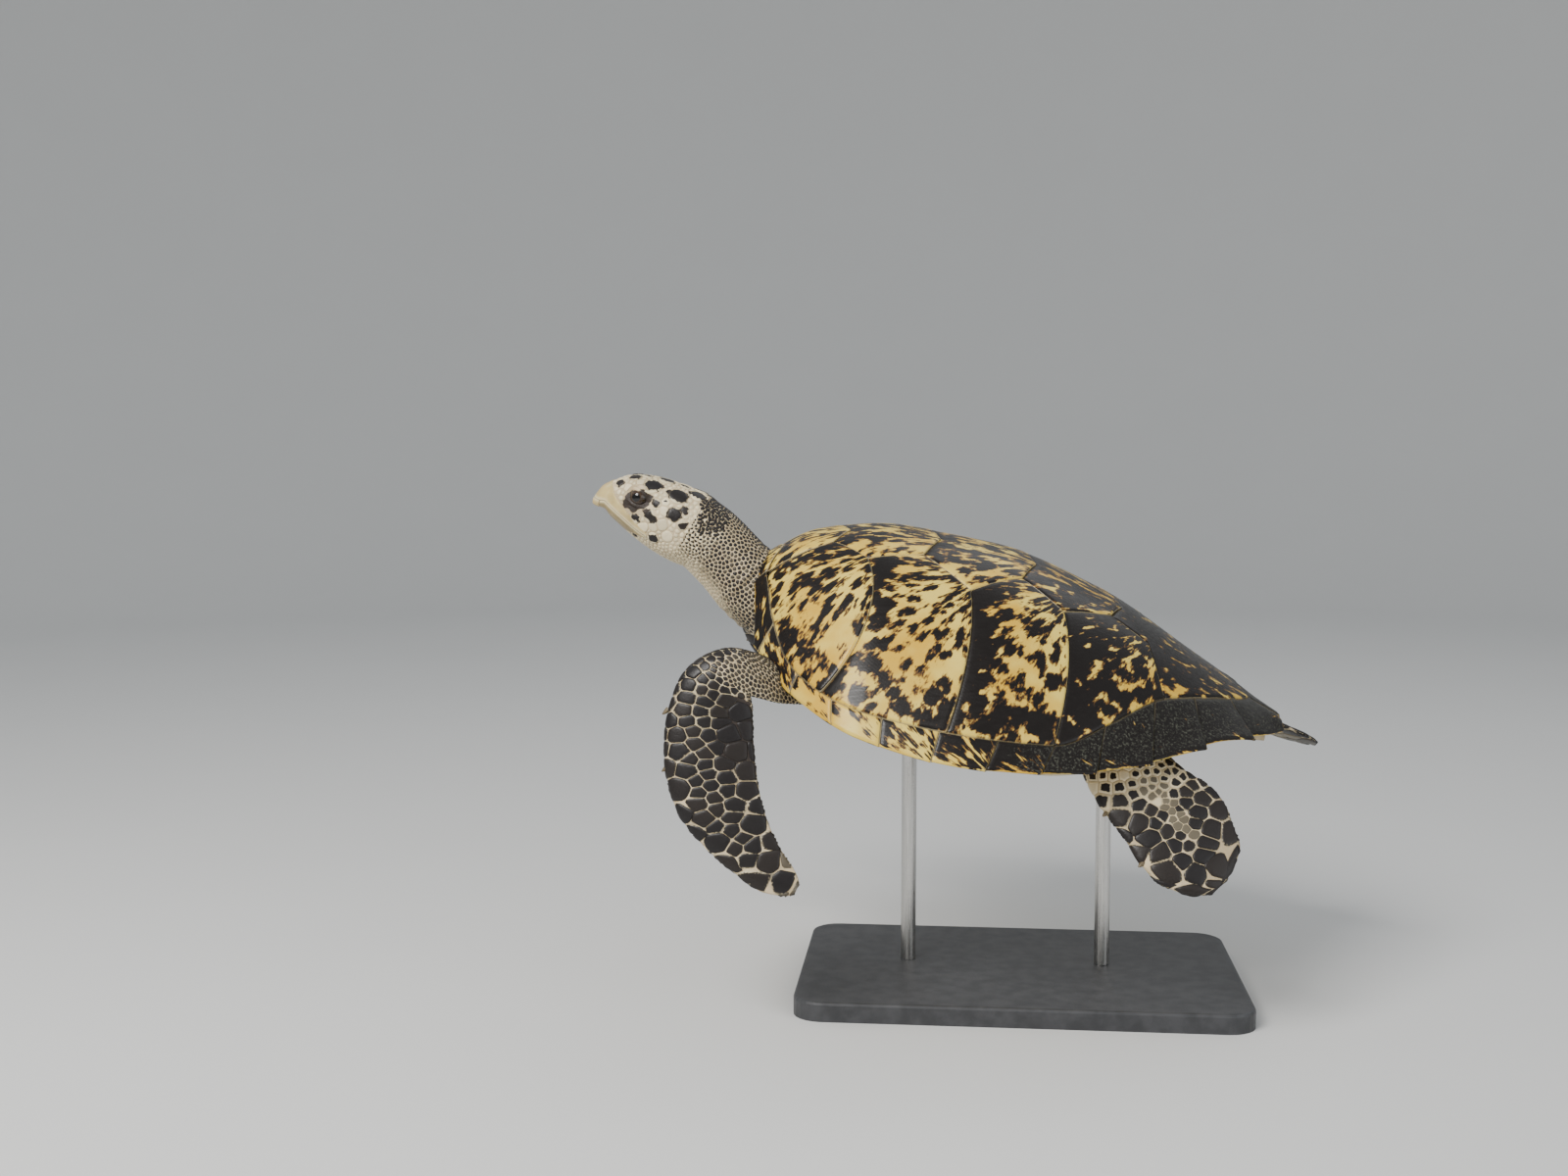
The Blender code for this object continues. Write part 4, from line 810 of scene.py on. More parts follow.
def with_lids(points):
    """The head with each orbit swollen over its eyeball, an almond opening sunk in it, a rolled lid
    round that, a groove and a soft fold beyond, and a brow that stands out above: bell curves of the
    share out from the opening, added to each point's distance from the eye. Two nostrils are dents."""
    made = points.copy()
    for side in (-1, 1):
        centre, out, long_way, short_way = eye_frame(side)
        lie = made - centre
        far = np.linalg.norm(lie, axis=-1)
        share = eye_share(made, side)
        soft = 0.0011
        dome = far + soft * np.log1p(np.exp(np.clip((LID_RADIUS - far) / soft, -30, 30)))
        dome += 0.0008 * np.exp(-((share - 1.13) / 0.085) ** 2)
        dome -= 0.0009 * np.exp(-((share - 1.36) / 0.07) ** 2)
        dome += 0.0005 * np.exp(-((share - 1.52) / 0.08) ** 2)
        dome -= 0.0005 * np.exp(-((share - 1.70) / 0.07) ** 2)
        above = ease(unit(lie) @ short_way, 0.25, 0.75)
        dome += 0.0016 * above * np.exp(-((share - 1.62) / 0.24) ** 2)
        dome += (EYE_FLOOR - dome) * (1 - ease(share, 0.90, 1.02))
        made = np.where((share < 6.0)[..., None], centre + unit(lie) * dome[..., None], made)
        nostril = np.array(NOSTRIL) * np.array([1.0, side, 1.0])
        away = np.linalg.norm((made - nostril) * (1.0, 1.3, 1.0), axis=-1)
        made[..., 2] -= NOSTRIL_DEPTH * np.exp(-(away / NOSTRIL_RADIUS) ** 2)
    return made


def neck_rings(count):
    """Round sections along the neck's bent centre line, with a few soft folds near the shell."""
    drawn = table_curve([(x, z, wide, tall) for (x, z), wide, tall in NECK], count)
    centres = np.stack([drawn[:, 0], 0 * drawn[:, 0], drawn[:, 1]], axis=1)
    way = unit(np.gradient(centres, axis=0))
    sideways = np.array([0.0, 1.0, 0.0])
    upward = np.cross(way, sideways)
    across, up = superellipse(full_turn(FULL_SECTION), 2.0)
    run = np.concatenate([[0], np.cumsum(np.linalg.norm(np.diff(centres, axis=0), axis=1))])[:, None]
    turn = np.arctan2(up, across)
    wave = np.sin((run + 0.004 * np.sin(2 * turn + 0.6)) * 2 * math.pi / 0.0115 + 1.3 * np.sin(3 * turn))
    fold = 0.0010 * wave * ease(run, 0.115, 0.060) * (0.6 + 0.4 * np.abs(across))
    wide, tall = drawn[:, 2:3] - COAT_DEPTH + fold, drawn[:, 3:4] - COAT_DEPTH + fold
    return centres[:, None] + (wide * across)[..., None] * sideways + (tall * up)[..., None] * upward[:, None]


def trunk_rings(count):
    """Sections of the body inside the shell: a line under the carapace there and a line over the
    plastron back, rounded off at the neck opening and at the tail."""
    made = []
    for share in np.linspace(0, 1, count):
        station = TRUNK_STATIONS[0] + (TRUNK_STATIONS[1] - TRUNK_STATIONS[0]) * share
        draw_in = 1 - 0.25 * (1 - ease(share, 0.0, 0.05)) - 0.25 * ease(share, 0.97, 1.0)
        half = (body_half_width(station) - 0.008) * draw_in
        across = np.linspace(1, -1, 40) * half
        t = across / smooth(HALF_WIDTH, station)
        s = np.full(t.shape, station)
        top = shell_point(s, t)
        top[:, 2] -= TRUNK_BELOW_SHELL / shell_normal(s, t)[:, 2]
        y = across * 0.99
        under = np.stack([0 * y + (station - 0.5) * STATION_LENGTH, y,
                          belly_height(station, y) + TRUNK_ABOVE_PLASTRON], axis=-1)
        ring = np.concatenate([top, under])
        ring[:, 2] = ring[:, 2].mean() + (ring[:, 2] - ring[:, 2].mean()) * (0.5 + 0.5 * draw_in)
        made.append(ring)
    return np.array(made)


def plane_point(x, depth, inward, origin, lean):
    """A point of a left flipper's plane: depth runs down and out at the plane's lean, and inward
    runs square to it, to the body."""
    y = origin[0] - depth * math.sin(lean) + inward * math.cos(lean)
    z = origin[1] - depth * math.cos(lean) - inward * math.sin(lean)
    return np.stack([x + 0 * y, y, z], axis=-1)


def flipper_rings(stations, origin, lean, count):
    """Sections of a left flipper: lens-shaped, thickest a third behind the leading edge, starting at
    the trailing edge and running over the outer face; the last few close to a rounded tip."""
    lead_x, lead_d, trail_x, trail_d, inward, thick = table_curve(stations, count).T
    lead = plane_point(lead_x, lead_d, inward, origin, lean)
    trail = plane_point(trail_x, trail_d, inward, origin, lean)
    inset = unit(trail - lead) * COAT_DEPTH * 0.8
    lead, trail = lead + inset, trail - inset
    outward = np.array([0.0, -math.cos(lean), math.sin(lean)])
    across, up = superellipse(full_turn(FULL_SECTION), FLIPPER_SQUARENESS)
    share = (1 + across) / 2
    centre = lead[:, None] * (1 - share[:, None]) + trail[:, None] * share[:, None]
    thick = np.maximum(thick - COAT_DEPTH, 0.0012)
    foil = up * (1 + 0.35 * (1 - 2 * share))
    return centre + thick[:, None, None] * foil[:, None] * outward


def swung(points, swing):
    """Points of a left limb turned about a point and shifted, ready to be mirrored to the right."""
    about, degrees, shift = swing
    turn = np.array(Euler([math.radians(angle) for angle in degrees]).to_matrix())
    return (points - np.array(about)) @ turn.T + np.array(about) + np.array(shift)


def rising_root(rings, knee, rise):
    """Sections of a limb whose stretch above the knee slopes up to its root."""
    share = np.clip(1 - np.linspace(0, 1, len(rings)) / knee, 0, 1)
    return rings + share[:, None, None] * np.array([0.0, 0.0, rise])


def tail_rings(count):
    """Sections of the short tail: circles about its bent middle line, three quarters as high as wide."""
    drawn = table_curve([(x, z, radius) for (x, z), radius in TAIL], count)
    across, up = superellipse(full_turn(64), 2.0)
    size = (drawn[:, 2:3] - COAT_DEPTH)[..., None]
    offset = size * np.stack([0 * up, across, 0.75 * up], axis=1)
    return np.stack([drawn[:, 0], 0 * drawn[:, 0], drawn[:, 1]], axis=1)[:, None] + offset


def skin_part(name, grid):
    """One closed part of the hide from its grid of sections, unrolled onto its patch of the map."""
    rows, around = grid.shape[:2]
    number = np.arange(rows * around).reshape(rows, around)
    after = np.roll(number, -1, axis=1)
    quads = np.stack([number[:-1], after[:-1], after[1:], number[1:]], axis=2).reshape(-1, 4)
    centre = grid[rows // 2].mean(axis=0)
    outward = grid[rows // 2, 0] - centre
    facing = np.cross(grid[rows // 2, 1] - grid[rows // 2, 0], grid[rows // 2 + 1, 0] - grid[rows // 2, 0])
    low_u, low_v, high_u, high_v = SKIN_PATCH[name]
    u = np.linspace(low_u, high_u, around + 1)
    v = np.linspace(low_v, high_v, rows)
    left, right = np.tile(u[:-1], rows - 1), np.tile(u[1:], rows - 1)
    low, high = np.repeat(v[:-1], around), np.repeat(v[1:], around)
    corners = np.stack([left, low, right, low, right, high, left, high], axis=1).reshape(-1, 4, 2)
    caps = [number[0, ::-1].tolist(), number[-1].tolist()]
    if facing @ outward < 0:
        quads, corners = quads[:, ::-1], corners[:, ::-1]
        caps = [cap[::-1] for cap in caps]
    flat = np.concatenate([corners.reshape(-1, 2), np.tile([low_u, low_v], (around, 1)),
                           np.tile([low_u, high_v], (around, 1))])
    mesh = surface_mesh("skin_" + name, grid.reshape(-1, 3), quads.tolist() + caps)
    mesh.uv_layers.new(name="OFBake").data.foreach_set("uv", flat.ravel())
    return mesh


def on_grid(grid, u, v):
    """Point of a grid of sections at shares u round it, wrapping, and v along it: the four grid points
    about it, each by how near it is."""
    rows, around = grid.shape[:2]
    a, b = (u % 1) * around, np.clip(v, 0, 1) * (rows - 1)
    i, j = np.floor(a).astype(int), np.minimum(b.astype(int), rows - 2)
    fa, fb = (a - i)[..., None], (b - j)[..., None]
    here, beside = i % around, (i + 1) % around
    near = grid[j, here] * (1 - fa) + grid[j, beside] * fa
    return near * (1 - fb) + (grid[j + 1, here] * (1 - fa) + grid[j + 1, beside] * fa) * fb


mirror = np.array([1.0, -1.0, 1.0])
head_x = np.linspace(HEAD[0][0] + 0.0004, HEAD[-1][0], 175)
plain_head = evened(head_rings(head_x, swell=-COAT_DEPTH), 224)
arm_left = evened(flipper_rings(FRONT_FLIPPER, FRONT_PLANE_ORIGIN, FRONT_PLANE_LEAN, 150), 72)
hind_left = evened(flipper_rings(HIND_FLIPPER, HIND_PLANE_ORIGIN, HIND_PLANE_LEAN, 112), 64)
hind_right = rising_root(swung(hind_left, RIGHT_HIND_SWING), HIND_KNEE, RIGHT_THIGH_RISE) * mirror
arm_right = swung(arm_left, RIGHT_FRONT_SWING) * mirror
grids = {"head": with_lids(plain_head), "neck": evened(neck_rings(96), 112), "trunk": trunk_rings(60),
         "arm_left": arm_left, "arm_right": arm_right, "hind_left": hind_left,
         "hind_right": hind_right, "tail": evened(tail_rings(30), 36)}


def with_modifier(piece, kind, **settings):
    """Add a modifier to an object and set its fields."""
    modifier = piece.modifiers.new(kind.lower(), kind)
    for field, value in settings.items():
        setattr(modifier, field, value)


def shaped(piece, *helpers):
    """The mesh that an object's modifiers make; the object and its helpers are then removed."""
    made = bpy.data.meshes.new_from_object(piece.evaluated_get(bpy.context.evaluated_depsgraph_get()))
    for one in (*helpers, piece):
        bpy.data.objects.remove(one)
    return made


def fused(parts):
    """The parts of the hide fused into one closed skin."""
    body = stood("skin", parts[0])
    helpers = [stood(mesh.name, mesh) for mesh in parts[1:]]
    for helper in helpers:
        with_modifier(body, "BOOLEAN", operation="UNION", solver="MANIFOLD", object=helper)
    return shaped(body, *helpers)


def array_of(mesh):
    """Coordinates of a mesh's vertices as an array."""
    values = np.empty(len(mesh.vertices) * 3, dtype=np.float32)
    mesh.vertices.foreach_get("co", values)
    return values.reshape(-1, 3).astype(float)


def unposed(points):
    """Points of the whole model back in the shell frame: the pose undone."""
    basis = posed(np.eye(3)) - posed(np.zeros((1, 3)))
    return (points - posed(np.zeros((1, 3)))) @ basis.T


def relaxed(mesh, weight, rounds):
    """Move each vertex its weight of the way to the mean of its neighbours, again and again."""
    pairs = np.empty(len(mesh.edges) * 2, dtype=np.int32)
    mesh.edges.foreach_get("vertices", pairs)
    first, second = pairs[0::2], pairs[1::2]
    points = array_of(mesh)
    count = np.bincount(pairs, minlength=len(points)).astype(float)[:, None]
    for _ in range(rounds):
        total = np.stack([np.bincount(first, points[second, axis], len(points))
                          + np.bincount(second, points[first, axis], len(points)) for axis in range(3)], axis=1)
        points += weight[:, None] * (total / count - points)
    mesh.vertices.foreach_set("co", points.astype(np.float32).ravel())
    mesh.update()


skin_mesh = fused([skin_part(name, grids[name]) for name in
                   ("trunk", "neck", "head", "arm_left", "arm_right", "hind_left", "hind_right", "tail")])


def folded(points):
    """Points of both sides laid over each other, as if the left ones were on the right."""
    return points * np.array([1.0, 0.0, 1.0]) + np.abs(points) * np.array([0.0, 1.0, 0.0])


def blob(points, at, radius):
    """1 at a place of the shell frame, falling smoothly to 0 at a radius from it, on both sides."""
    return ease(np.linalg.norm(folded(points) - np.array(at), axis=-1), radius, 0.35 * radius)


# Shields of the head, on both sides or, at 90 degrees, on the midline: millimetres behind the beak's
# tip, degrees up from the side, millimetres across, then the dark patch on it, if it has one: half
# length and half width in millimetres and tilt in degrees, nose down.
HEAD_SHIELDS = ((27.5, 60, 10.5, (6.2, 4.6, 68)), (41.5, 78, 13.5, (8.5, 5.0, 8)), (38.5, 45, 10.0, None),
                (50.5, 61, 10.5, None), (64, 62, 21.5, (10.8, 8.6, 12)), (53.5, 90, 11.0, (4.6, 2.6, 0)),
                (74.5, 90, 19.0, (9.5, 5.0, 0)), (92, 58, 21.5, (12.2, 7.6, 11)),
                (111.5, 76, 18.5, (11.5, 6.6, 11)), (95, 90, 13.0, (5.5, 3.0, 0)),
                (72.5, 32, 10.0, (5.0, 4.2, 18)), (68.5, 10, 14.5, (9.8, 4.7, 37)),
                (54, 1, 11.5, (8.4, 3.5, 51)), (93.5, 25, 16.0, (9.6, 6.6, -17)),
                (103.5, 36, 10.0, (4.8, 4.2, 0)), (104, 14, 12.0, (6.6, 3.5, -37)),
                (75.5, -20, 14.5, (6.4, 4.6, 48)), (83, 6, 13.5, None), (90.5, -6, 13.5, None),
                (63.5, -10, 11.0, None), (82, 40, 9.5, (2.4, 1.7, 0)), (82, 24, 10.0, None),
                (74.5, -1, 11.0, None))
# Dark patches that lie between shields: on the jaw and before the eye, then the one round the eye.
LOOSE_PATCHES = ((53.5, -46, (3.8, 2.6, 30)), (34.5, 45, (2.2, 1.8, 0)))
EYE_PATCH = (50.5, 24, (17.0, 11.0, -22))
# The dark patch on each front flipper by the armpit, at the trailing edge: dark scales, and painted shade of
# the skin folds there. Its middle on either side in the shell frame, half length and half width in millimetres,
# and tilt in degrees.
ARM_DARK_SCALES_AND_FOLD_SHADE = ((-0.263, 0.210, -0.062, 50, 22, 84),)
SHIELD_PATCHES = [(behind, turn, patch) for behind, turn, size, patch in HEAD_SHIELDS if patch]
HEAD_MARKS = [(*head_place(behind, turn), *patch)
              for behind, turn, patch in (*SHIELD_PATCHES, *LOOSE_PATCHES)]
EYE_MARK = (*head_place(*EYE_PATCH[:2]), *EYE_PATCH[2])


def wobbled(points):
    """Places shifted by a millimetre along two sets of crossing sine waves, so that outlines wander."""
    wide = np.sin(points[..., [1, 2, 0]] * 560 + np.array([0.4, 2.1, 4.0]))
    fine = np.sin(points[..., [2, 0, 1]] * 1350 + np.array([1.0, 3.2, 5.1]))
    return points + 0.0012 * wide + 0.0006 * fine


def mark_share(points, marks):
    """How far out from the nearest dark patch's middle points lie: 1 on its edge. A patch is an
    ellipsoid given by its middle on either side, half length and width in millimetres and tilt."""
    one_side = folded(wobbled(points))
    nearest = np.full(points.shape[:-1], 4.0)
    for x, y, z, long_half, wide_half, tilt in marks:
        way = np.array([math.cos(math.radians(tilt)), 0.0, -math.sin(math.radians(tilt))])
        lie = (one_side - np.array([x, y, z])) * 1000
        along = lie @ way
        across = np.sum(lie ** 2, axis=-1) - along ** 2
        nearest = np.minimum(nearest, np.sqrt((along / long_half) ** 2 + across / wide_half ** 2))
    return nearest


def tone_of(points):
    """How dark the hide is at places of the shell frame: smoky over nape, upper neck and shoulders,
    black-brown on the lids and patches of the head and on the patch by each armpit, whose darkness is
    dark scales and partly painted shade of the skin folds there; pale on the throat and beneath."""
    x, _, z = points.T
    along_neck = ease(x, -0.356, -0.338)
    axis_height = np.interp(x, [row[0][0] for row in NECK[::-1]], [row[0][1] for row in NECK[::-1]])
    upward = ease((z - axis_height) / 0.04, -0.75, 0.20)
    marks = ease(mark_share(points, HEAD_MARKS + [EYE_MARK]), 1.18, 0.86)
    shoulder = blob(points, (-0.262, 0.120, 0.005), 0.085)
    tone = np.maximum(0.24 * along_neck * upward, 0.22 * shoulder)
    # the armpit patch: dark scales and painted shade of the skin folds there
    marks = np.maximum(marks, ease(mark_share(points, ARM_DARK_SCALES_AND_FOLD_SHADE), 1.08, 0.92))
    return np.clip(np.maximum(tone, marks), 0, 1)


# Where the parts of the hide meet, behind the head and at the roots of the limbs and the tail, and
# how far around each place the skin is worked smooth.
NAPE_JOIN = -0.344
JOINS = (((-0.255, 0.110, 0.0), 0.075), ((-0.285, 0.060, 0.01), 0.045), ((0.070, 0.120, -0.035), 0.075),
         ((0.165, 0.095, -0.012), 0.055), ((0.202, 0.0, -0.009), 0.032))
shell_points = unposed(array_of(skin_mesh))
join_weight = np.exp(-((shell_points[:, 0] - NAPE_JOIN) / 0.013) ** 2)
for spot, reach in JOINS:
    join_weight = np.maximum(join_weight, blob(shell_points, spot, reach))
relaxed(skin_mesh, 0.6 * join_weight, 26)
written(skin_mesh, "tone", tone_of(unposed(array_of(skin_mesh))))
smoothed(skin_mesh)


def hide_look():
    """Leathery hide: cream to sand in soft clouds, darkened where the tone at the vertices says so
    with a broken edge, over a pebbled grain."""
    made = finish("hide", Subsurface_Weight=0.06, Subsurface_Scale=0.004, Specular_IOR_Level=0.30)
    tree = made.node_tree
    here = place_on(tree)
    cloud = noise(tree, here, 36.0, 3.0)
    fine = noise(tree, here, 330.0, 3.0, 0.6)
    pebble = node(tree, "TexVoronoi", {"Vector": here, "Scale": SKIN_PEBBLES, "Randomness": 0.9}, output=0)
    level = piled(tree, carried(tree, "tone"), (fine, 0.55))
    skin_tone = mixed(tree, span(tree, cloud, 0.35, 0.65), SKIN_CREAM, SKIN_SAND)
    to_shader(made, Base_Color=mixed(tree, span(tree, level, 0.52, 0.98), skin_tone, SKIN_DARK),
              Roughness=span(tree, fine, 0.2, 0.8, 0.42, 0.60),
              Normal=bumped(tree, piled(tree, pebble, (fine, 0.4)), SKIN_RELIEF))
    return made


skin = shown("skin", skin_mesh, hide_look(), "skin", "head", "neck", "trunk", "tail", "upper_arm_left",
             "upper_arm_right", "front_flipper_left", "front_flipper_right", "thigh_left", "thigh_right",
             "hind_flipper_left", "hind_flipper_right")

# ---------------------------------------------------------------------------------------------
# Scales: horny plates and granules that grow from the hide and lie flat on it, each a low dome
# whose edge sinks into the skin. Most have a dark core and a pale, ragged border.
SCALE_DARK = (0.011, 0.009, 0.009)
SCALE_BROWN = (0.017, 0.013, 0.011)
SCALE_PALE = (0.700, 0.590, 0.380)
# Profile of a dome from its middle out: share of the radius and share of the height.
PLATE_RINGS = ((0.0, 1.0), (0.18, 1.0), (0.36, 1.0), (0.54, 0.98), (0.72, 0.92), (0.87, 0.75), (0.96, 0.40),
               (1.0, -0.6))
TILE_RINGS = ((0.0, 1.0), (0.62, 0.8), (1.0, -0.5))
GRANULE_RINGS = ((0.0, 1.0), (0.72, 0.8), (1.0, -0.2))
BURIED_DEPTH = 0.010
LARGEST_GRANULE = 0.0048
SMALLEST_SCALE = 0.003


def lie_of(grid, u, v, stretch=1.0):
    """Tangents of a grid of sections: unit e1 round it, unit e2 along it, and how fast u and v run,
    with lengths round it divided by a stretch, so that scales come out that much longer that way."""
    step_u, step_v = 0.004, 0.006
    round_way = (on_grid(grid, u + step_u, v) - on_grid(grid, u - step_u, v)) / (2 * step_u)
    low, high = np.clip(v - step_v, 0, 1), np.clip(v + step_v, 0, 1)
    long_way = (on_grid(grid, u, high) - on_grid(grid, u, low)) / (high - low)[..., None]
    e1 = unit(round_way)
    speed_u = np.linalg.norm(round_way, axis=-1) / stretch
    shear = np.sum(long_way * e1, axis=-1)
    square = long_way - shear[..., None] * e1
    return e1, unit(square), speed_u, shear / stretch, np.linalg.norm(square, axis=-1)


def offsets(lie, u, v, to_u, to_v):
    """Offsets from sites to other places, measured on the hide round it and along it."""
    turn = (to_u - u + 0.5) % 1 - 0.5
    return turn * lie[2] + (to_v - v) * lie[3], (to_v - v) * lie[4]


def thrown(grid, size_of, tries, seed, first=(), low=0.0, high=1.0, stretch=1.0):
    """Sites thrown at random over a grid of sections and kept where they stand clear of the others,
    by 0.42 of both sizes together; the first ones given are kept as they are."""
    luck = np.random.default_rng(seed)
    u, v = luck.random(tries), low + (high - low) * luck.random(tries)
    size = size_of(u, v)
    lie = lie_of(grid, u, v, stretch)
    total = len(first)
    kept = [np.array([row[k] for row in first] + [0.0] * tries) for k in range(3)]
    for index in range(tries):
        if size[index] <= 0:
            continue
        one = [part[index] for part in lie]
        a, b = offsets(one, u[index], v[index], kept[0][:total], kept[1][:total])
        if np.all(a * a + b * b > (0.42 * (kept[2][:total] + size[index])) ** 2):
            kept[0][total], kept[1][total], kept[2][total] = u[index], v[index], size[index]
            total += 1
    return [column[:total] for column in kept]


def cells(grid, u, v, size, turns, rounding, stretch=1.0):
    """Distance from each site to the wall of its cell along each turn. A wall towards a neighbour
    lies where the squared distances less the squared half sizes are equal; the nearest walls are
    blended with a power mean, which rounds the corners."""
    lie = lie_of(grid, u, v, stretch)
    reach = np.empty((len(u), len(turns)))
    near_count = min(18, len(u) - 1)
    cos, sin = np.cos(turns), np.sin(turns)
    for start in range(0, len(u), 400):
        rows = slice(start, start + 400)
        part = [value[rows][:, None] for value in (lie[2], lie[3], lie[4])]
        a, b = offsets([None, None] + part, u[rows][:, None], v[rows][:, None], u[None], v[None])
        gap = a * a + b * b
        gap[np.arange(gap.shape[0]), np.arange(start, start + gap.shape[0])] = 1e9
        pick = np.argpartition(gap, near_count, axis=1)[:, :near_count]
        a, b, gap = (np.take_along_axis(value, pick, 1) for value in (a, b, gap))
        power = np.maximum(gap + (size[rows][:, None] ** 2 - size[pick] ** 2) / 4, 0.25 * gap)
        pull = a[:, :, None] * cos + b[:, :, None] * sin
        inverse = np.maximum(2 * pull / power[:, :, None], 1e-6)
        reach[rows] = np.sum(inverse ** rounding, axis=1) ** (-1.0 / rounding)
    return np.minimum(reach, 0.95 * size[:, None]), lie


def settled(grid, u, v, size, rounds, fixed=0, stretch=1.0):
    """Sites moved to the middle of their cells a few times, all but the first few."""
    turns = full_turn(12)
    for _ in range(rounds):
        reach, lie = cells(grid, u, v, size, turns, 12, stretch)
        weight = np.sum(reach ** 2, axis=1)
        a = np.sum(reach ** 3 * np.cos(turns), axis=1) * 2 / 3 / weight
        b = np.sum(reach ** 3 * np.sin(turns), axis=1) * 2 / 3 / weight
        step_v = b / lie[4]
        step_u = (a - step_v * lie[3]) / lie[2]
        step_u[:fixed], step_v[:fixed] = 0, 0
        u, v = (u + 0.8 * step_u) % 1, np.clip(v + 0.8 * step_v, 0, 1)
    return u, v


def snapped(points):
    """Places of the shell frame moved onto the nearest spot of the fused skin."""
    cloud = bpy.data.meshes.new("cloud")
    cloud.vertices.add(points.size // 3)
    cloud.vertices.foreach_set("co", posed(points).astype(np.float32).ravel())
    holder = stood("cloud", cloud)
    with_modifier(holder, "SHRINKWRAP", target=skin, wrap_method="NEAREST_SURFACEPOINT")
    return unposed(array_of(shaped(holder))).reshape(points.shape)


def dome_faces(corners, rings):
    """Four-sided faces of one closed scale: a cap round its middle, a band between each two rings,
    and a floor under the last."""
    start = 1 + corners * np.arange(rings - 1)
    here, after = np.arange(corners), (np.arange(corners) + 1) % corners
    cap = [[0, start[0] + k, start[0] + k + 1, start[0] + (k + 2) % corners] for k in range(0, corners, 2)]
    bands = [np.stack([inner + here, outer + here, outer + after, inner + after], axis=1)
             for inner, outer in zip(start[:-1], start[1:])]
    last = start[-1]
    under = [[last + (corners - 1 - k) % corners, last + (corners - 2 - k), last + k + 1, last + k]
             for k in range(corners // 2 - 1)]
    return np.concatenate([np.array(cap)] + bands + [np.array(under)])


def repeated(faces, count, turned):
    """The faces of one scale for every scale, each set moved on by its points and turned where asked."""
    every = faces[None] + count * np.arange(len(turned))[:, None, None]
    return np.where(turned[:, None, None], every[:, :, ::-1], every).reshape(-1, 4)


def coat(name, patch, grid, sites, core, dark, look, slot, height, gap, skip, seed, corners=8,
         rings=TILE_RINGS, rounding=9, marks=None, stretch=1.0):
    """A sheet of scales: for each site a low dome on its cell, drawn in by a gap, set on the hide.
    Each scale lies at its own place on the unrolled hide; core is the dark share of its radius."""
    u, v, size = sites
    turns = full_turn(corners)
    reach, lie = cells(grid, u, v, size, turns, rounding, stretch)
    middle = on_grid(grid, u, v)
    keep = ~skip & (np.linalg.norm(snapped(middle) - middle, axis=1) < BURIED_DEPTH)
    u, v, size, core, dark, reach = [values[keep] for values in (u, v, size, core, dark, reach)]
    lie = [values[keep] for values in lie]
    luck = np.random.default_rng(seed)
    reach = np.maximum(reach - gap * 0.5, 0.3 * reach)
    share, lift = [np.repeat([ring[k] for ring in rings], [1] + [corners] * (len(rings) - 1)) for k in (0, 1)]
    angle = np.concatenate([[0.0], np.tile(turns, len(rings) - 1)])
    column = np.concatenate([[0], np.tile(np.arange(corners), len(rings) - 1)])
    radius = reach[:, column] * share
    a, b = radius * np.cos(angle), radius * np.sin(angle)
    step_v = b / lie[4][:, None]
    step_u = (a - step_v * lie[3][:, None]) / lie[2][:, None]
    all_u, all_v = u[:, None] + step_u, np.clip(v[:, None] + step_v, 0, 1)
    ground = on_grid(grid, all_u, all_v)
    out = unit(np.cross(*lie_of(grid, all_u, all_v)[:2]))
    heart = grid.mean(axis=1)[np.clip((v * (len(grid) - 1)).astype(int), 0, len(grid) - 1)]
    side = np.sign(np.sum(out[:, 0] * (ground[:, 0] - heart), axis=1))
    rise = lift * height * np.clip(size / np.median(size), 0.75, 1.3)[:, None]
    points = snapped(ground) + out * side[:, None, None] * rise[:, :, None]
    one_side = 0.5 + 0.5 * np.cos(angle - 6.28 * luck.random(len(u))[:, None])
    fringe = 0.32 * luck.random(len(u))[:, None] ** 3 * one_side
    core_share = share / np.maximum(core[:, None], 0.05) + fringe * share
    if marks:
        core_share = np.maximum(mark_share(points, marks), share * core[:, None])
    faces = repeated(dome_faces(corners, len(rings)), points.shape[1], side < 0)
    facts = {"core": core_share.ravel(), "dark": np.repeat(dark, points.shape[1]),
             "luck": np.repeat(luck.random(len(u)), points.shape[1])}
    mesh = surface_mesh(name, points.reshape(-1, 3), faces.tolist(), facts)
    low_u, low_v, high_u, high_v = SKIN_PATCH[patch]
    map_u = low_u + np.clip(u[:, None] + 0.92 * step_u, 0, 1) * (high_u - low_u)
    map_v = low_v + np.clip(v[:, None] + 0.92 * (all_v - v[:, None]), 0, 1) * (high_v - low_v)
    spread = np.stack([map_u, map_v], axis=2).reshape(-1, 2)
    corner_vertex = np.empty(len(mesh.loops), dtype=np.int32)
    mesh.loops.foreach_get("vertex_index", corner_vertex)
    mesh.uv_layers.new(name="OFBake").data.foreach_set("uv", spread[corner_vertex].ravel())
    shown(name, mesh, look, slot)


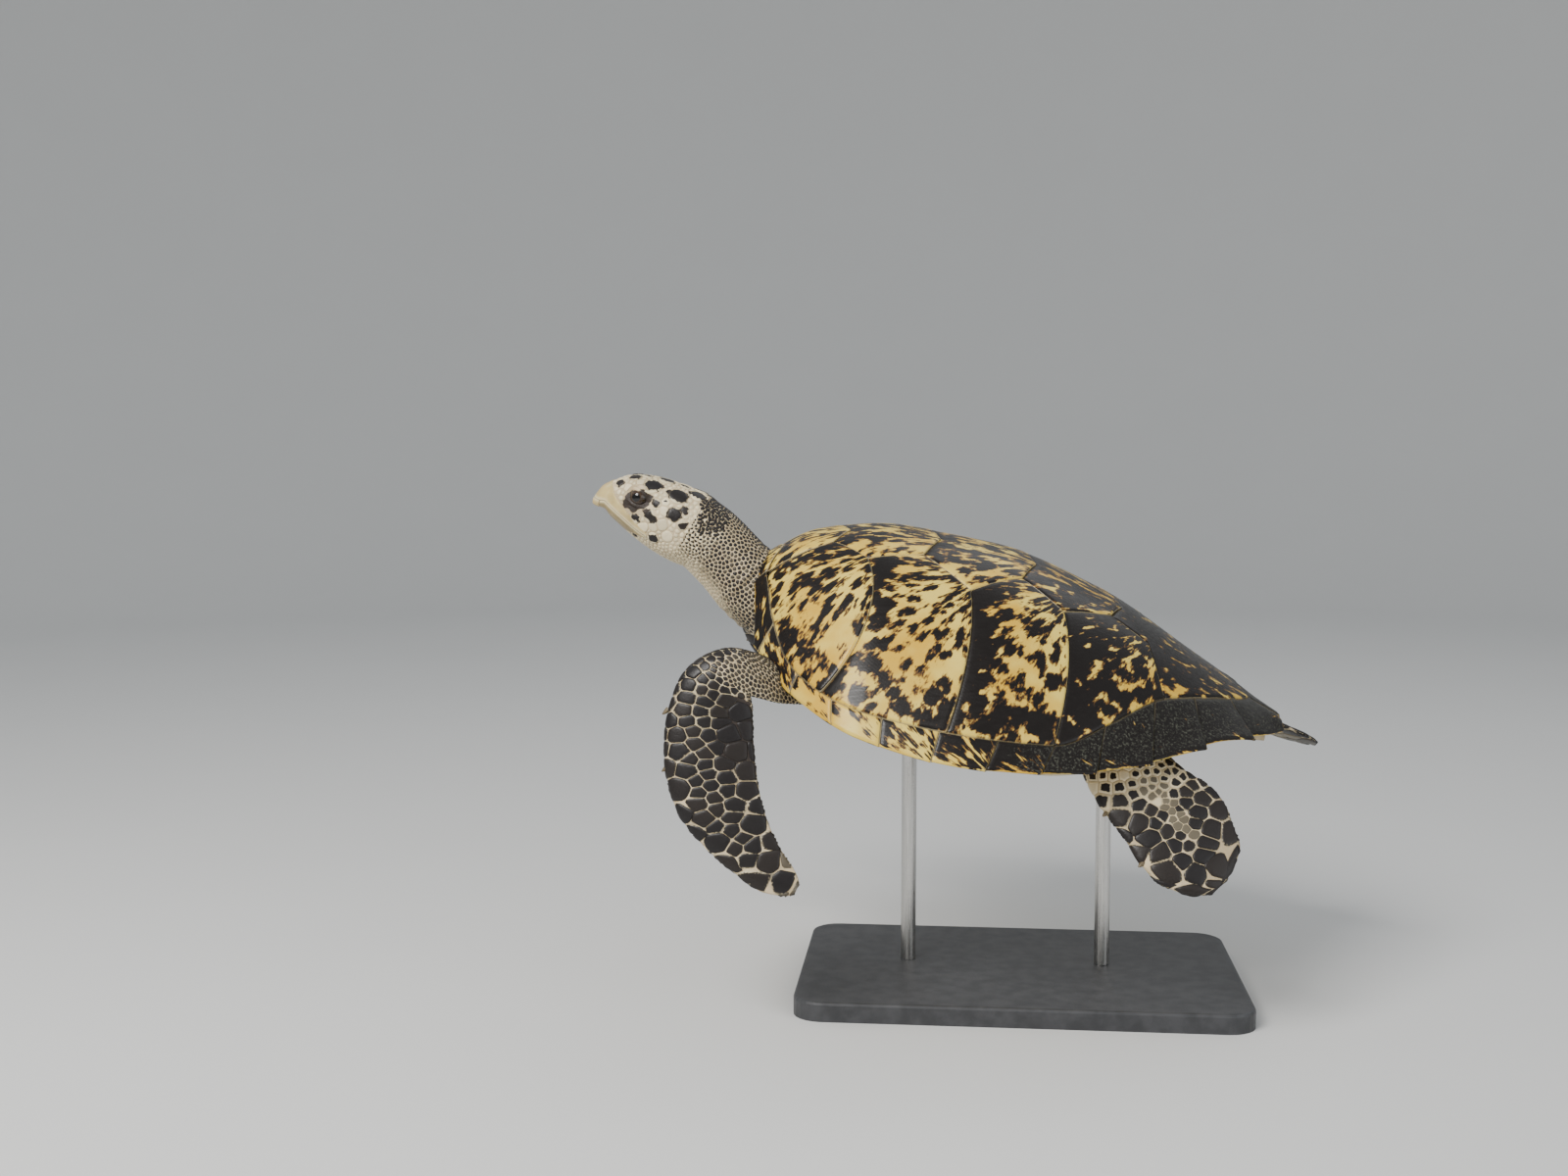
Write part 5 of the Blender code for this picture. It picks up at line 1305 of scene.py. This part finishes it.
def scale_look(name, pale, rough, ragged, grain):
    """Scale horn: a dark core that breaks up raggedly towards a pale border, a slight tint from
    scale to scale, and a fine grain."""
    made = finish(name, Coat_Weight=0.10, Coat_Roughness=0.25, Specular_IOR_Level=0.28)
    tree = made.node_tree
    here = place_on(tree)
    core, depth, luck = [carried(tree, fact) for fact in ("core", "dark", "luck")]
    jag = noise(tree, here, grain, 3.0, 0.6)
    fine = noise(tree, here, 700.0, 3.0)
    cover = span(tree, piled(tree, core, (jag, ragged)), 0.90 + ragged / 2, 1.10 + ragged / 2, 1.0, 0.0)
    dark_tone = mixed(tree, span(tree, piled(tree, luck, (jag, 0.6)), 0.6, 1.2), SCALE_DARK, SCALE_BROWN)
    pale_tone = mixed(tree, span(tree, luck, 0.0, 1.0, 0.0, 0.55), pale, tuple(0.62 * tone for tone in pale))
    to_shader(made, Base_Color=mixed(tree, sums(tree, "MULTIPLY", cover, depth), pale_tone, dark_tone),
              Roughness=span(tree, fine, 0.2, 0.8, rough - 0.06, rough + 0.10),
              Normal=bumped(tree, piled(tree, fine, (jag, 0.6)), 0.00018))
    return made


flipper_finish = scale_look("flipper_scale", SCALE_PALE, 0.40, 0.50, 520.0)
small_finish = scale_look("small_scale", SCALE_PALE, 0.46, 0.35, 700.0)


def chord_of(u):
    """Share from the leading edge (0) to the trailing edge (1) on either face of a flipper."""
    return np.abs(1 - 2 * u)


def arm_size(u, v):
    """Scale sizes on a front flipper: granules on the shoulder, plates in rows at the leading edge,
    small ones along the middle, broad ones by the trailing edge and long ones near the tip."""
    chord = chord_of(u)
    front, rear = ease(chord, 0.34, 0.16), ease(chord, 0.58, 0.78)
    size = 0.0098 + 0.0040 * front + 0.0085 * rear + 0.0070 * front * ease(v, 0.44, 0.54)
    size = size + 0.0060 * ease(v, 0.68, 0.86)
    shoulder = ease(v + 0.10 * (0.5 - chord), 0.30, 0.23) * ease(chord, 0.14, 0.45)
    shoulder = np.maximum(shoulder, ease(v, 0.16, 0.11))
    size = size * (0.45 + 0.55 * ease(v, 0.13, 0.34))
    size = size * (1 - shoulder) + 0.0034 * shoulder
    return np.where(v < 0.03, 0.0, np.maximum(size, SMALLEST_SCALE))


def smooth_band(u, v):
    """1 along the bare band down the middle of a hind flipper, fading at its sides and ends."""
    chord = chord_of(u)
    return ease(chord, 0.40, 0.47) * ease(chord, 0.64, 0.57) * ease(v, 0.34, 0.42) * ease(v, 0.74, 0.64)


def hind_size(u, v):
    """Scale sizes on a hind flipper: small on the thigh and along the middle, broad at the rim."""
    chord = chord_of(u)
    size = 0.0098 + 0.0080 * ease(v, 0.36, 0.60) * ease(chord, 0.58, 0.78)
    size = size + 0.0100 * ease(v, 0.34, 0.50) * ease(chord, 0.36, 0.12) + 0.0075 * ease(v, 0.64, 0.84)
    size = size * (0.80 + 0.20 * ease(v, 0.25, 0.45)) * (1 - 0.45 * smooth_band(u, v))
    return np.where(v < 0.06, 0.0, size)


for limb, side_word, size_of, tries, low, seed in (("arm", "left", arm_size, 14000, 0.03, 5),
                                                   ("arm", "right", arm_size, 14000, 0.03, 8),
                                                   ("hind", "left", hind_size, 5000, 0.06, 11),
                                                   ("hind", "right", hind_size, 5000, 0.06, 15)):
    patch = limb + "_" + side_word
    grid = grids[patch]
    stretch = 1.35 if limb == "arm" else 1.15
    u, v, size = thrown(grid, size_of, tries, seed, low=low, high=0.975, stretch=stretch)
    u, v = settled(grid, u, v, size, 7, stretch=stretch)
    size = size_of(u, v).clip(SMALLEST_SCALE)
    luck = np.random.default_rng(seed + 50)
    chord = chord_of(u)
    beneath = (u > 0.5) & (chord > 0.20) & (chord < 0.82)
    dark = np.where(beneath, 0.25 + 0.65 * ease(v, 0.55, 0.85), 1.0)
    core = 1.12 - 0.14 * luck.random(len(u)) ** 3
    granular = size < LARGEST_GRANULE
    if limb == "hind":
        sparse = ease(v, 0.52, 0.36) * ease(chord, 1.05, 0.75)
        core = core * (1 - 0.42 * sparse)
        dark = dark * np.where(luck.random(len(u)) < 0.22 * sparse, 0.10, 1.0)
        dark = dark * np.where(luck.random(len(u)) < 0.90 * smooth_band(u, v), 0.82, 1.0)
    else:
        core = np.where(granular, 1.20, core)
        dark = dark * np.where(granular, 0.93 + 0.07 * luck.random(len(u)), 1.0)
        # scales inside the armpit patch are dark to their rims: dark scales and painted shade of the skin folds
        # there
        core = np.where(mark_share(on_grid(grid, u, v), ARM_DARK_SCALES_AND_FOLD_SHADE) < 1, 1.5, core)
        pale_patch = (v > 0.80) & (chord < 0.45) & (luck.random(len(u)) < 0.35)
        dark = np.where(pale_patch, 0.08, dark)
    coat(limb + "_scales_" + side_word, patch, grid, (u, v, size), core, dark, flipper_finish, "flipper_skin",
         height=0.0010, gap=0.0003, skip=granular, seed=seed, corners=28, rings=PLATE_RINGS, rounding=18,
         stretch=stretch)
    if limb == "arm":
        coat("shoulder_scales_" + side_word, patch, grid, (u, v, size), core, dark, small_finish,
             "flipper_skin",
             height=0.0006, gap=0.0003, skip=~granular, seed=seed, rings=GRANULE_RINGS, stretch=stretch)

# ---------------------------------------------------------------------------------------------
# Neck granules: thousands of small pebbly scales that grow from the hide, dark above with paler
# ones in rows between the folds, plain and pale on the throat.


def neck_size(u, v):
    """Granules a little over three millimetres across, smaller towards the head."""
    return np.where(v < 0.16, 0.0, 0.0042 - 0.0006 * ease(v, 0.5, 0.9))


grid = grids["neck"]
u, v, size = thrown(grid, neck_size, 26000, 21, low=0.16)
u, v = settled(grid, u, v, size, 5)
size = neck_size(u, v).clip(SMALLEST_SCALE)
luck = np.random.default_rng(22)
upward = -np.sin(2 * math.pi * u)
wrinkle = np.sin(2 * math.pi * (34 * v + 2.2 * np.abs((u - 0.25 + 0.5) % 1 - 0.5)) + 1.2 * np.sin(9 * u))
pale_rows = (wrinkle > 0.70) & (luck.random(len(u)) < 0.75)
dark = ease(upward + 0.5 * ease(v, 0.5, 0.1) + 0.12 * (luck.random(len(u)) - 0.5), -0.85, -0.20)
dark = dark * np.where(pale_rows, 0.92, 1.0)
coat("neck_scales", "neck", grid, (u, v, size), np.full(len(u), 1.20), dark, small_finish, "skin",
     height=0.00062, gap=0.0006, skip=np.zeros(len(u), dtype=bool), seed=23, rings=GRANULE_RINGS)

# ---------------------------------------------------------------------------------------------
# Head scales: large horny shields in pairs over brow, crown and cheek, with smaller ones between
# them and rows of little tiles on jaw and throat.
HEAD_SCALE_PALE = (0.740, 0.640, 0.420)
ORBIT_PLACE = (-0.4285, 0.0290, 0.1040)
ORBIT_SIZE = 0.0345
# Where the beak's horn ends on the head, as seen from the side: along and up.
BEAK_SEAM = ((-0.4620, 0.1100), (-0.4520, 0.0985), (-0.4380, 0.0880), (-0.4120, 0.0695))
JAW_SEAM = ((-0.4180, 0.0650), (-0.4350, 0.0655), (-0.4450, 0.0600))


def spot_on(grid, place):
    """Shares u and v of the grid point nearest to a place."""
    nearest = np.argmin(np.linalg.norm(grid - np.array(place), axis=2))
    return (nearest % grid.shape[1]) / grid.shape[1], (nearest // grid.shape[1]) / (grid.shape[0] - 1)


def in_front_of_beak_seam(points, margin):
    """True where the beak, and not hide, covers the head."""
    x, z = points[..., 0], points[..., 2]
    top = np.interp(z, [row[1] for row in BEAK_SEAM[::-1]], [row[0] for row in BEAK_SEAM[::-1]])
    low = np.interp(z, [JAW_SEAM[2][1], JAW_SEAM[1][1], BEAK_SEAM[3][1]],
                    [JAW_SEAM[2][0], JAW_SEAM[1][0], JAW_SEAM[0][0]])
    return x < np.where(z > BEAK_SEAM[3][1], top, low) + margin


def head_size(u, v):
    """Filler scales: small tiles, a little larger on the cheek than on throat and nape."""
    spots = on_grid(plain_head, u, v)
    upward = ease(spots[:, 2], 0.060, 0.085)
    size = 0.0038 + 0.0016 * upward * ease(spots[:, 0], -0.362, -0.376)
    hidden = in_front_of_beak_seam(spots, 0.0015) | (spots[:, 0] > -0.337)
    return np.where(hidden, 0.0, size)


fixed = [(*spot_on(plain_head, head_place(behind, turn) * (1.0, side, 1.0)), size / 1000)
         for behind, turn, size, patch in HEAD_SHIELDS for side in ((-1, 1) if turn < 90 else (1,))]
fixed += [(*spot_on(plain_head, np.array(ORBIT_PLACE) * (1.0, side, 1.0)), ORBIT_SIZE) for side in (-1, 1)]
shields = len(fixed)
u, v, size = thrown(plain_head, head_size, 9000, 31, first=fixed)
u, v = settled(plain_head, u, v, size, 5, fixed=shields)
spots = on_grid(plain_head, u, v)
luck = np.random.default_rng(33)
nape = ease(spots[:, 0], -0.372, -0.350) * ease(spots[:, 2], 0.070, 0.095)
dark = np.where(nape > luck.random(len(u)), 1.0, 0.0)
order = np.arange(len(u))
hidden = in_front_of_beak_seam(spots, 0.0) | ((order >= shields - 2) & (order < shields))
every = np.ones(len(u))
head_finish = scale_look("head_scale", HEAD_SCALE_PALE, 0.38, 0.50, 420.0)
coat("head_shields", "head", plain_head, (u, v, size), 0.99 * every, every, head_finish, "skin",
     height=0.0009, gap=0.0008, skip=hidden | (order >= shields), seed=34, corners=24, rings=PLATE_RINGS,
     rounding=14, marks=HEAD_MARKS)
coat("head_tiles", "head", plain_head, (u, v, size), 0.1 * every, every, head_finish, "skin",
     height=0.0005, gap=0.0004, skip=hidden | (order < shields) | (nape > 0.35), seed=35, rounding=14,
     marks=HEAD_MARKS + [EYE_MARK])
coat("nape_scales", "head", plain_head, (u, v, size), 1.20 * every, dark, small_finish, "skin",
     height=0.0005, gap=0.0003, skip=hidden | (order < shields) | (nape <= 0.35), seed=36,
     rings=GRANULE_RINGS, rounding=14)

# ---------------------------------------------------------------------------------------------
# Beak: two sheaths of smooth horn over the jaws. The upper one is narrow and hooked and shuts over
# the lower one; both have rounded edges and fine wear lines.
MOUTH_LINE = ((-0.4118, 0.0664), (-0.4220, 0.0704), (-0.4300, 0.0742), (-0.4420, 0.0802),
              (-0.4560, 0.0868), (-0.4650, 0.0913), (-0.4718, 0.0898))
BEAK_HORN = (0.540, 0.415, 0.180)
BEAK_PALE = (0.700, 0.610, 0.370)
BEAK_OLIVE = (0.170, 0.130, 0.060)
# painted shade in the gap between the upper and lower sheath, along the mouth line
MOUTH_GAP_SHADE = (0.100, 0.075, 0.040)
JAW_HORN = (0.300, 0.220, 0.090)
BEAK_VOXEL = 0.00062
SHEATH_PROUD = 0.0002
MOUTH_GAP = 0.0006


def curved(corners, count):
    """A smooth line through corners in the side view, evenly drawn."""
    return [tuple(row) for row in table_curve(corners, count)]


def facing_out(mesh):
    """Turn every face of a closed mesh to point outwards."""
    shape = bmesh.new()
    shape.from_mesh(mesh)
    bmesh.ops.recalc_face_normals(shape, faces=shape.faces)
    shape.to_mesh(mesh)
    shape.free()
    return mesh


def block_through_head(outline):
    """A closed block through the head with an outline in the side view."""
    points = np.array(outline)
    count = len(points)
    ring = np.arange(count)
    walls = np.stack([ring, np.roll(ring, -1), np.roll(ring, -1) + count, ring + count], axis=1).tolist()
    corners = np.concatenate([np.stack([points[:, 0], np.full(count, wide), points[:, 1]], axis=1)
                              for wide in (-0.08, 0.08)])
    return facing_out(surface_mesh("block", corners, walls + [ring[::-1].tolist(), (ring + count).tolist()]))


def sheath(name, outline, swell):
    """A beak sheath: the head's own form, swollen a little, kept inside an outline, then remeshed
    finely so that its edges come out rounded."""
    x = np.linspace(HEAD[0][0], -0.400, 150)
    rings = evened(head_rings(x, swell=swell), 200)
    number = np.arange(rings.shape[0] * rings.shape[1]).reshape(rings.shape[:2])
    after = np.roll(number, -1, axis=1)
    quads = np.stack([number[:-1], number[1:], after[1:], after[:-1]], axis=2).reshape(-1, 4).tolist()
    body = surface_mesh(name, rings.reshape(-1, 3), quads + [number[0].tolist(), number[-1, ::-1].tolist()])
    piece = stood(name, facing_out(body))
    cutter = stood("block", block_through_head(outline))
    with_modifier(piece, "BOOLEAN", operation="INTERSECT", solver="MANIFOLD", object=cutter)
    with_modifier(piece, "REMESH", mode="VOXEL", voxel_size=BEAK_VOXEL)
    with_modifier(piece, "SMOOTH", factor=0.5, iterations=4)
    made = shaped(piece, cutter)
    spots = unposed(array_of(made))
    mouth_x, mouth_z = np.array(MOUTH_LINE[::-1]).T
    written(made, "lip", np.abs(spots[:, 2] - np.interp(spots[:, 0], mouth_x, mouth_z)) * 1000)
    smoothed(made)
    return made


def beak_look(name, main, cloudy, pale):
    """Smooth horn: pale along the cutting edge, a thin painted shade right on the mouth line between the
    sheaths, olive streaks that run back from the tip, fine wear.
    """
    made = finish(name, Coat_Weight=0.15, Coat_Roughness=0.2, Subsurface_Weight=0.05,
                  Subsurface_Scale=0.003, Specular_IOR_Level=0.35)
    tree = made.node_tree
    here = place_on(tree)
    lip = carried(tree, "lip")
    streak = noise(tree, stretched(tree, here, (40.0, 260.0, 120.0)), 1.0, 3.0)
    cloud = noise(tree, here, 60.0, 3.0)
    fine = noise(tree, here, 900.0, 3.0)
    horn = mixed(tree, span(tree, cloud, 0.40, 0.70, 0.0, cloudy), main, BEAK_OLIVE)
    horn = mixed(tree, span(tree, streak, 0.45, 0.75, 0.0, 0.35), horn, pale)
    horn = mixed(tree, span(tree, lip, 0.6, 4.5, 0.85, 0.0), horn, pale)
    # painted shade: dark within 0.7 mm of the mouth line, where the two sheaths meet
    gap_shaded = mixed(tree, span(tree, lip, 0.0, 0.7, 0.8, 0.0), horn, MOUTH_GAP_SHADE)
    to_shader(made, Base_Color=gap_shaded, Roughness=span(tree, streak, 0.3, 0.7, 0.30, 0.42),
              Normal=bumped(tree, piled(tree, fine, (streak, 0.8)), 0.00012))
    return made


mouth = curved(MOUTH_LINE, 40)
seam = curved(BEAK_SEAM, 30)
jaw = curved(JAW_SEAM, 12)
upper_outline = [(-0.500, 0.140), (BEAK_SEAM[0][0], 0.140), *seam, *mouth, (-0.4722, 0.060), (-0.500, 0.060)]
lower_outline = [*[(x, z - MOUTH_GAP) for x, z in mouth[:-1]], (-0.4712, 0.0890), (-0.4712, 0.050),
                 (JAW_SEAM[2][0], 0.050), *jaw[::-1]]
for part, outline, swell, horn in (("upper", upper_outline, SHEATH_PROUD, ("beak_horn", BEAK_HORN, 0.35)),
                                   ("lower", lower_outline, -SHEATH_PROUD, ("jaw_horn", JAW_HORN, 0.55))):
    name = "beak_%s_sheath" % part
    shown(name, sheath(name, outline, swell), beak_look(*horn, BEAK_PALE), "beak", "beak_" + part)

# ---------------------------------------------------------------------------------------------
# Eyes: glass balls with a raised cornea, a wide black pupil and a dark brown iris, set behind the
# lids so that only an almond of each shows.
EYE_BALL = 0.0107
CORNEA_RISE = 0.0006
PUPIL_ANGLE = 0.42
IRIS_ANGLE = 0.85
PUPIL_BLACK = (0.003, 0.003, 0.003)
IRIS_DARK = (0.018, 0.010, 0.006)
IRIS_BROWN = (0.055, 0.030, 0.014)
EYE_RING = (0.016, 0.011, 0.008)


def eye_mesh(name, side, rows=48, columns=64):
    """A ball about the eye's own axis, its front raised over the iris by a bell curve of the angle
    from the axis; closed at both poles."""
    centre, out, long_way, short_way = eye_frame(side)
    angle = np.linspace(0, math.pi, rows)[1:-1, None]
    turn = full_turn(columns)
    radius = EYE_BALL - 0.0004 + CORNEA_RISE * np.exp(-(angle / 0.62) ** 4)
    ring = radius[..., None] * (np.cos(angle)[..., None] * out
                                + np.sin(angle)[..., None] * (np.cos(turn)[:, None] * long_way
                                                              + np.sin(turn)[:, None] * short_way))
    points = np.concatenate([[centre + out * (EYE_BALL + 0.0002)], (centre + ring).reshape(-1, 3),
                             [centre - out * (EYE_BALL - 0.0004)]])
    number = 1 + np.arange((rows - 2) * columns).reshape(rows - 2, columns)
    after = np.roll(number, -1, axis=1)
    quads = np.stack([number[:-1], number[1:], after[1:], after[:-1]], axis=2).reshape(-1, 4)
    caps = [[0, first, second] for first, second in zip(number[0], after[0])]
    caps += [[len(points) - 1, second, first] for first, second in zip(number[-1], after[-1])]
    flip = np.dot(np.cross(long_way, short_way), out) < 0
    faces = [face[::-1] if flip else face for face in quads.tolist() + [list(map(int, cap)) for cap in caps]]
    angles = np.concatenate([[0.0], np.repeat(angle[:, 0], columns), [math.pi]])
    turns = np.concatenate([[0.0], np.tile(turn, rows - 2), [0.0]])
    iris = np.stack([np.cos(turns) * 4, np.sin(turns) * 4, angles * 1.5], axis=1)
    return surface_mesh(name, points, faces, {"angle": angles, "iris": iris})


def eye_look():
    """Black pupil, iris fibres of two browns, a dark ring round the iris, all under clear glass."""
    made = finish("glass_eye", Roughness=0.20, Coat_Weight=0.6, Coat_Roughness=0.03, Specular_IOR_Level=0.25)
    tree = made.node_tree
    angle = carried(tree, "angle")
    fibre = noise(tree, carried(tree, "iris", 1), 3.0, 4.0, 0.7)
    brown = mixed(tree, span(tree, fibre, 0.3, 0.7), IRIS_DARK, IRIS_BROWN)
    inner = mixed(tree, span(tree, angle, PUPIL_ANGLE - 0.03, PUPIL_ANGLE + 0.03), PUPIL_BLACK, brown)
    outer = mixed(tree, span(tree, angle, IRIS_ANGLE - 0.10, IRIS_ANGLE + 0.02), inner, EYE_RING)
    to_shader(made, Base_Color=outer)
    return made


eye_finish = eye_look()
for side_word, side in (("left", -1), ("right", 1)):
    name = "glass_eye_" + side_word
    shown(name, eye_mesh(name, side), eye_finish, "eye", "eye_" + side_word)

# ---------------------------------------------------------------------------------------------
# Claws: two short blunt hooks of horn on the leading edge of each flipper.
CLAW_LENGTH = 0.0085
CLAW_RADIUS = 0.00299
CLAW_HOOK = 0.0012
CLAW_ROOT_SHARE = 0.55
CLAW_HORN = (0.080, 0.058, 0.036)
# Where the claws stand in the plane of a left flipper: along and down.
FRONT_CLAWS = ((-0.3368, 0.080), (-0.3245, 0.134))
HIND_CLAWS = ((0.0975, 0.0525), (0.1380, 0.0950))


def claw_mesh(name, root, away, rows=14, columns=16):
    """A tapering hook carried along a short bent path, closed with a point at its end."""
    outward = unit(np.cross(away, np.array([0.0, 0.0, 1.0])))
    hook = unit(np.cross(outward, away))
    share = np.linspace(0, 1, rows)[:, None]
    centres = root + away * CLAW_LENGTH * (share - CLAW_ROOT_SHARE) + hook * CLAW_HOOK * share ** 2
    radius = CLAW_RADIUS * (1 - share ** 1.8) ** 0.7
    turn = full_turn(columns)[:, None]
    ring = centres[:, None] + radius[..., None] * (np.cos(turn) * outward + 0.8 * np.sin(turn) * hook)
    points = np.concatenate([ring[:-1].reshape(-1, 3), centres[-1:], centres[:1]])
    number = np.arange((rows - 1) * columns).reshape(rows - 1, columns)
    after = np.roll(number, -1, axis=1)
    quads = np.stack([number[:-1], after[:-1], after[1:], number[1:]], axis=2).reshape(-1, 4).tolist()
    tip, base = len(points) - 2, len(points) - 1
    caps = [[int(first), int(second), tip] for first, second in zip(number[-1], after[-1])]
    caps += [[int(second), int(first), base] for first, second in zip(number[0], after[0])]
    return facing_out(surface_mesh(name, points, quads + caps, {"lip": np.full(len(points), 3.0)}))


claw_finish = beak_look("claw_horn", CLAW_HORN, 0.30, BEAK_OLIVE)
for limb, spots, origin, lean, swing in (
        ("front", FRONT_CLAWS, FRONT_PLANE_ORIGIN, FRONT_PLANE_LEAN, RIGHT_FRONT_SWING),
        ("hind", HIND_CLAWS, HIND_PLANE_ORIGIN, HIND_PLANE_LEAN, RIGHT_HIND_SWING)):
    for side_word, side in (("left", 1.0), ("right", -1.0)):
        for count, (x, depth) in enumerate(spots):
            outward_step = np.array([0.0, 1.0])
            pair = plane_point(x - 0.005 * outward_step, depth + 0.009 * outward_step, 0.0, origin, lean)
            pair = (pair if side > 0 else swung(pair, swing)) * np.array([1.0, side, 1.0])
            name = "%s_claw_%d_%s" % (limb, count + 1, side_word)
            shown("horn_" + name, claw_mesh("horn_" + name, pair[0], unit(pair[1] - pair[0])), claw_finish,
                  "beak", name)

# ---------------------------------------------------------------------------------------------
# Surroundings: a plain pale floor that turns up into a wall all round, three soft lights, and the
# camera a little above the animal's head, beside it on its left.
FLOOR_PALE = (0.66, 0.66, 0.65)
FLOOR_REACH = 4.2
FLOOR_BEND = 2.4
WALL_HEIGHT = 3.6
SKY_COLOUR = (0.80, 0.84, 0.88, 1.0)
SKY_STRENGTH = 0.62
CAMERA_AT = (-0.061, -1.927, 0.587)
CAMERA_LOOKS = (-0.098, 0.991, -0.085)
LENS = 42.0


def studio_floor(around=96, bend_steps=24):
    """A round floor, flat under the object, that turns up all round in a quarter circle into a wall:
    a profile of distance and height, turned about the middle."""
    angle = np.linspace(0, math.pi / 2, bend_steps)
    out = np.concatenate([[0.02, 1.0, 2.5], FLOOR_REACH + FLOOR_BEND * np.sin(angle),
                          [FLOOR_REACH + FLOOR_BEND]])
    up = np.concatenate([[0.0, 0.0, 0.0], FLOOR_BEND * (1 - np.cos(angle)), [WALL_HEIGHT]])
    turn = full_turn(around)[:, None]
    points = np.stack(np.broadcast_arrays(out * np.cos(turn), out * np.sin(turn), up), axis=-1).reshape(-1, 3)
    number = np.arange(len(points)).reshape(around, len(out))
    after = np.roll(number, -1, axis=0)
    faces = np.stack([number[:, :-1], number[:, 1:], after[:, 1:], after[:, :-1]], axis=2).reshape(-1, 4)
    mesh = bpy.data.meshes.new("studio_floor")
    mesh.from_pydata(points.tolist(), [], faces.tolist())
    smoothed(mesh)
    return mesh


floor = stood("studio_floor", studio_floor())
floor_paint = finish("floor_paint", Roughness=0.75)
tree = floor_paint.node_tree
to_shader(floor_paint, Base_Color=mixed(tree, noise(tree, place_on(tree), 3.0), FLOOR_PALE,
                                        tuple(0.97 * tone for tone in FLOOR_PALE)))
floor.data.materials.append(floor_paint)


def soft_light(name, at, aim, size, power, colour):
    """A square area light that looks at a point."""
    lamp = bpy.data.lights.new(name, "AREA")
    lamp.size = size
    lamp.energy = power
    lamp.color = colour
    holder = stood(name, lamp)
    holder.location = at
    holder.rotation_euler = (Vector(aim) - Vector(at)).to_track_quat("-Z", "Y").to_euler()


soft_light("key_light", (-1.3, -1.9, 2.3), (0.0, 0.0, 0.32), 1.4, 118.0, (1.0, 0.98, 0.95))
soft_light("fill_light", (2.0, -1.5, 1.0), (0.0, 0.0, 0.30), 1.8, 18.0, (0.94, 0.97, 1.0))
soft_light("back_light", (0.9, 1.7, 2.6), (0.0, 0.0, 0.35), 1.8, 10.0, (1.0, 1.0, 1.0))
sky = bpy.data.worlds.new("studio_air")
sky.use_nodes = True
sky.node_tree.nodes["Background"].inputs["Color"].default_value = SKY_COLOUR
sky.node_tree.nodes["Background"].inputs["Strength"].default_value = SKY_STRENGTH
bpy.context.scene.world = sky

camera = stood("camera", bpy.data.cameras.new("camera"))
camera.data.lens = LENS
camera.location = CAMERA_AT
camera.rotation_euler = Vector(CAMERA_LOOKS).to_track_quat("-Z", "Y").to_euler()
bpy.context.scene.camera = camera
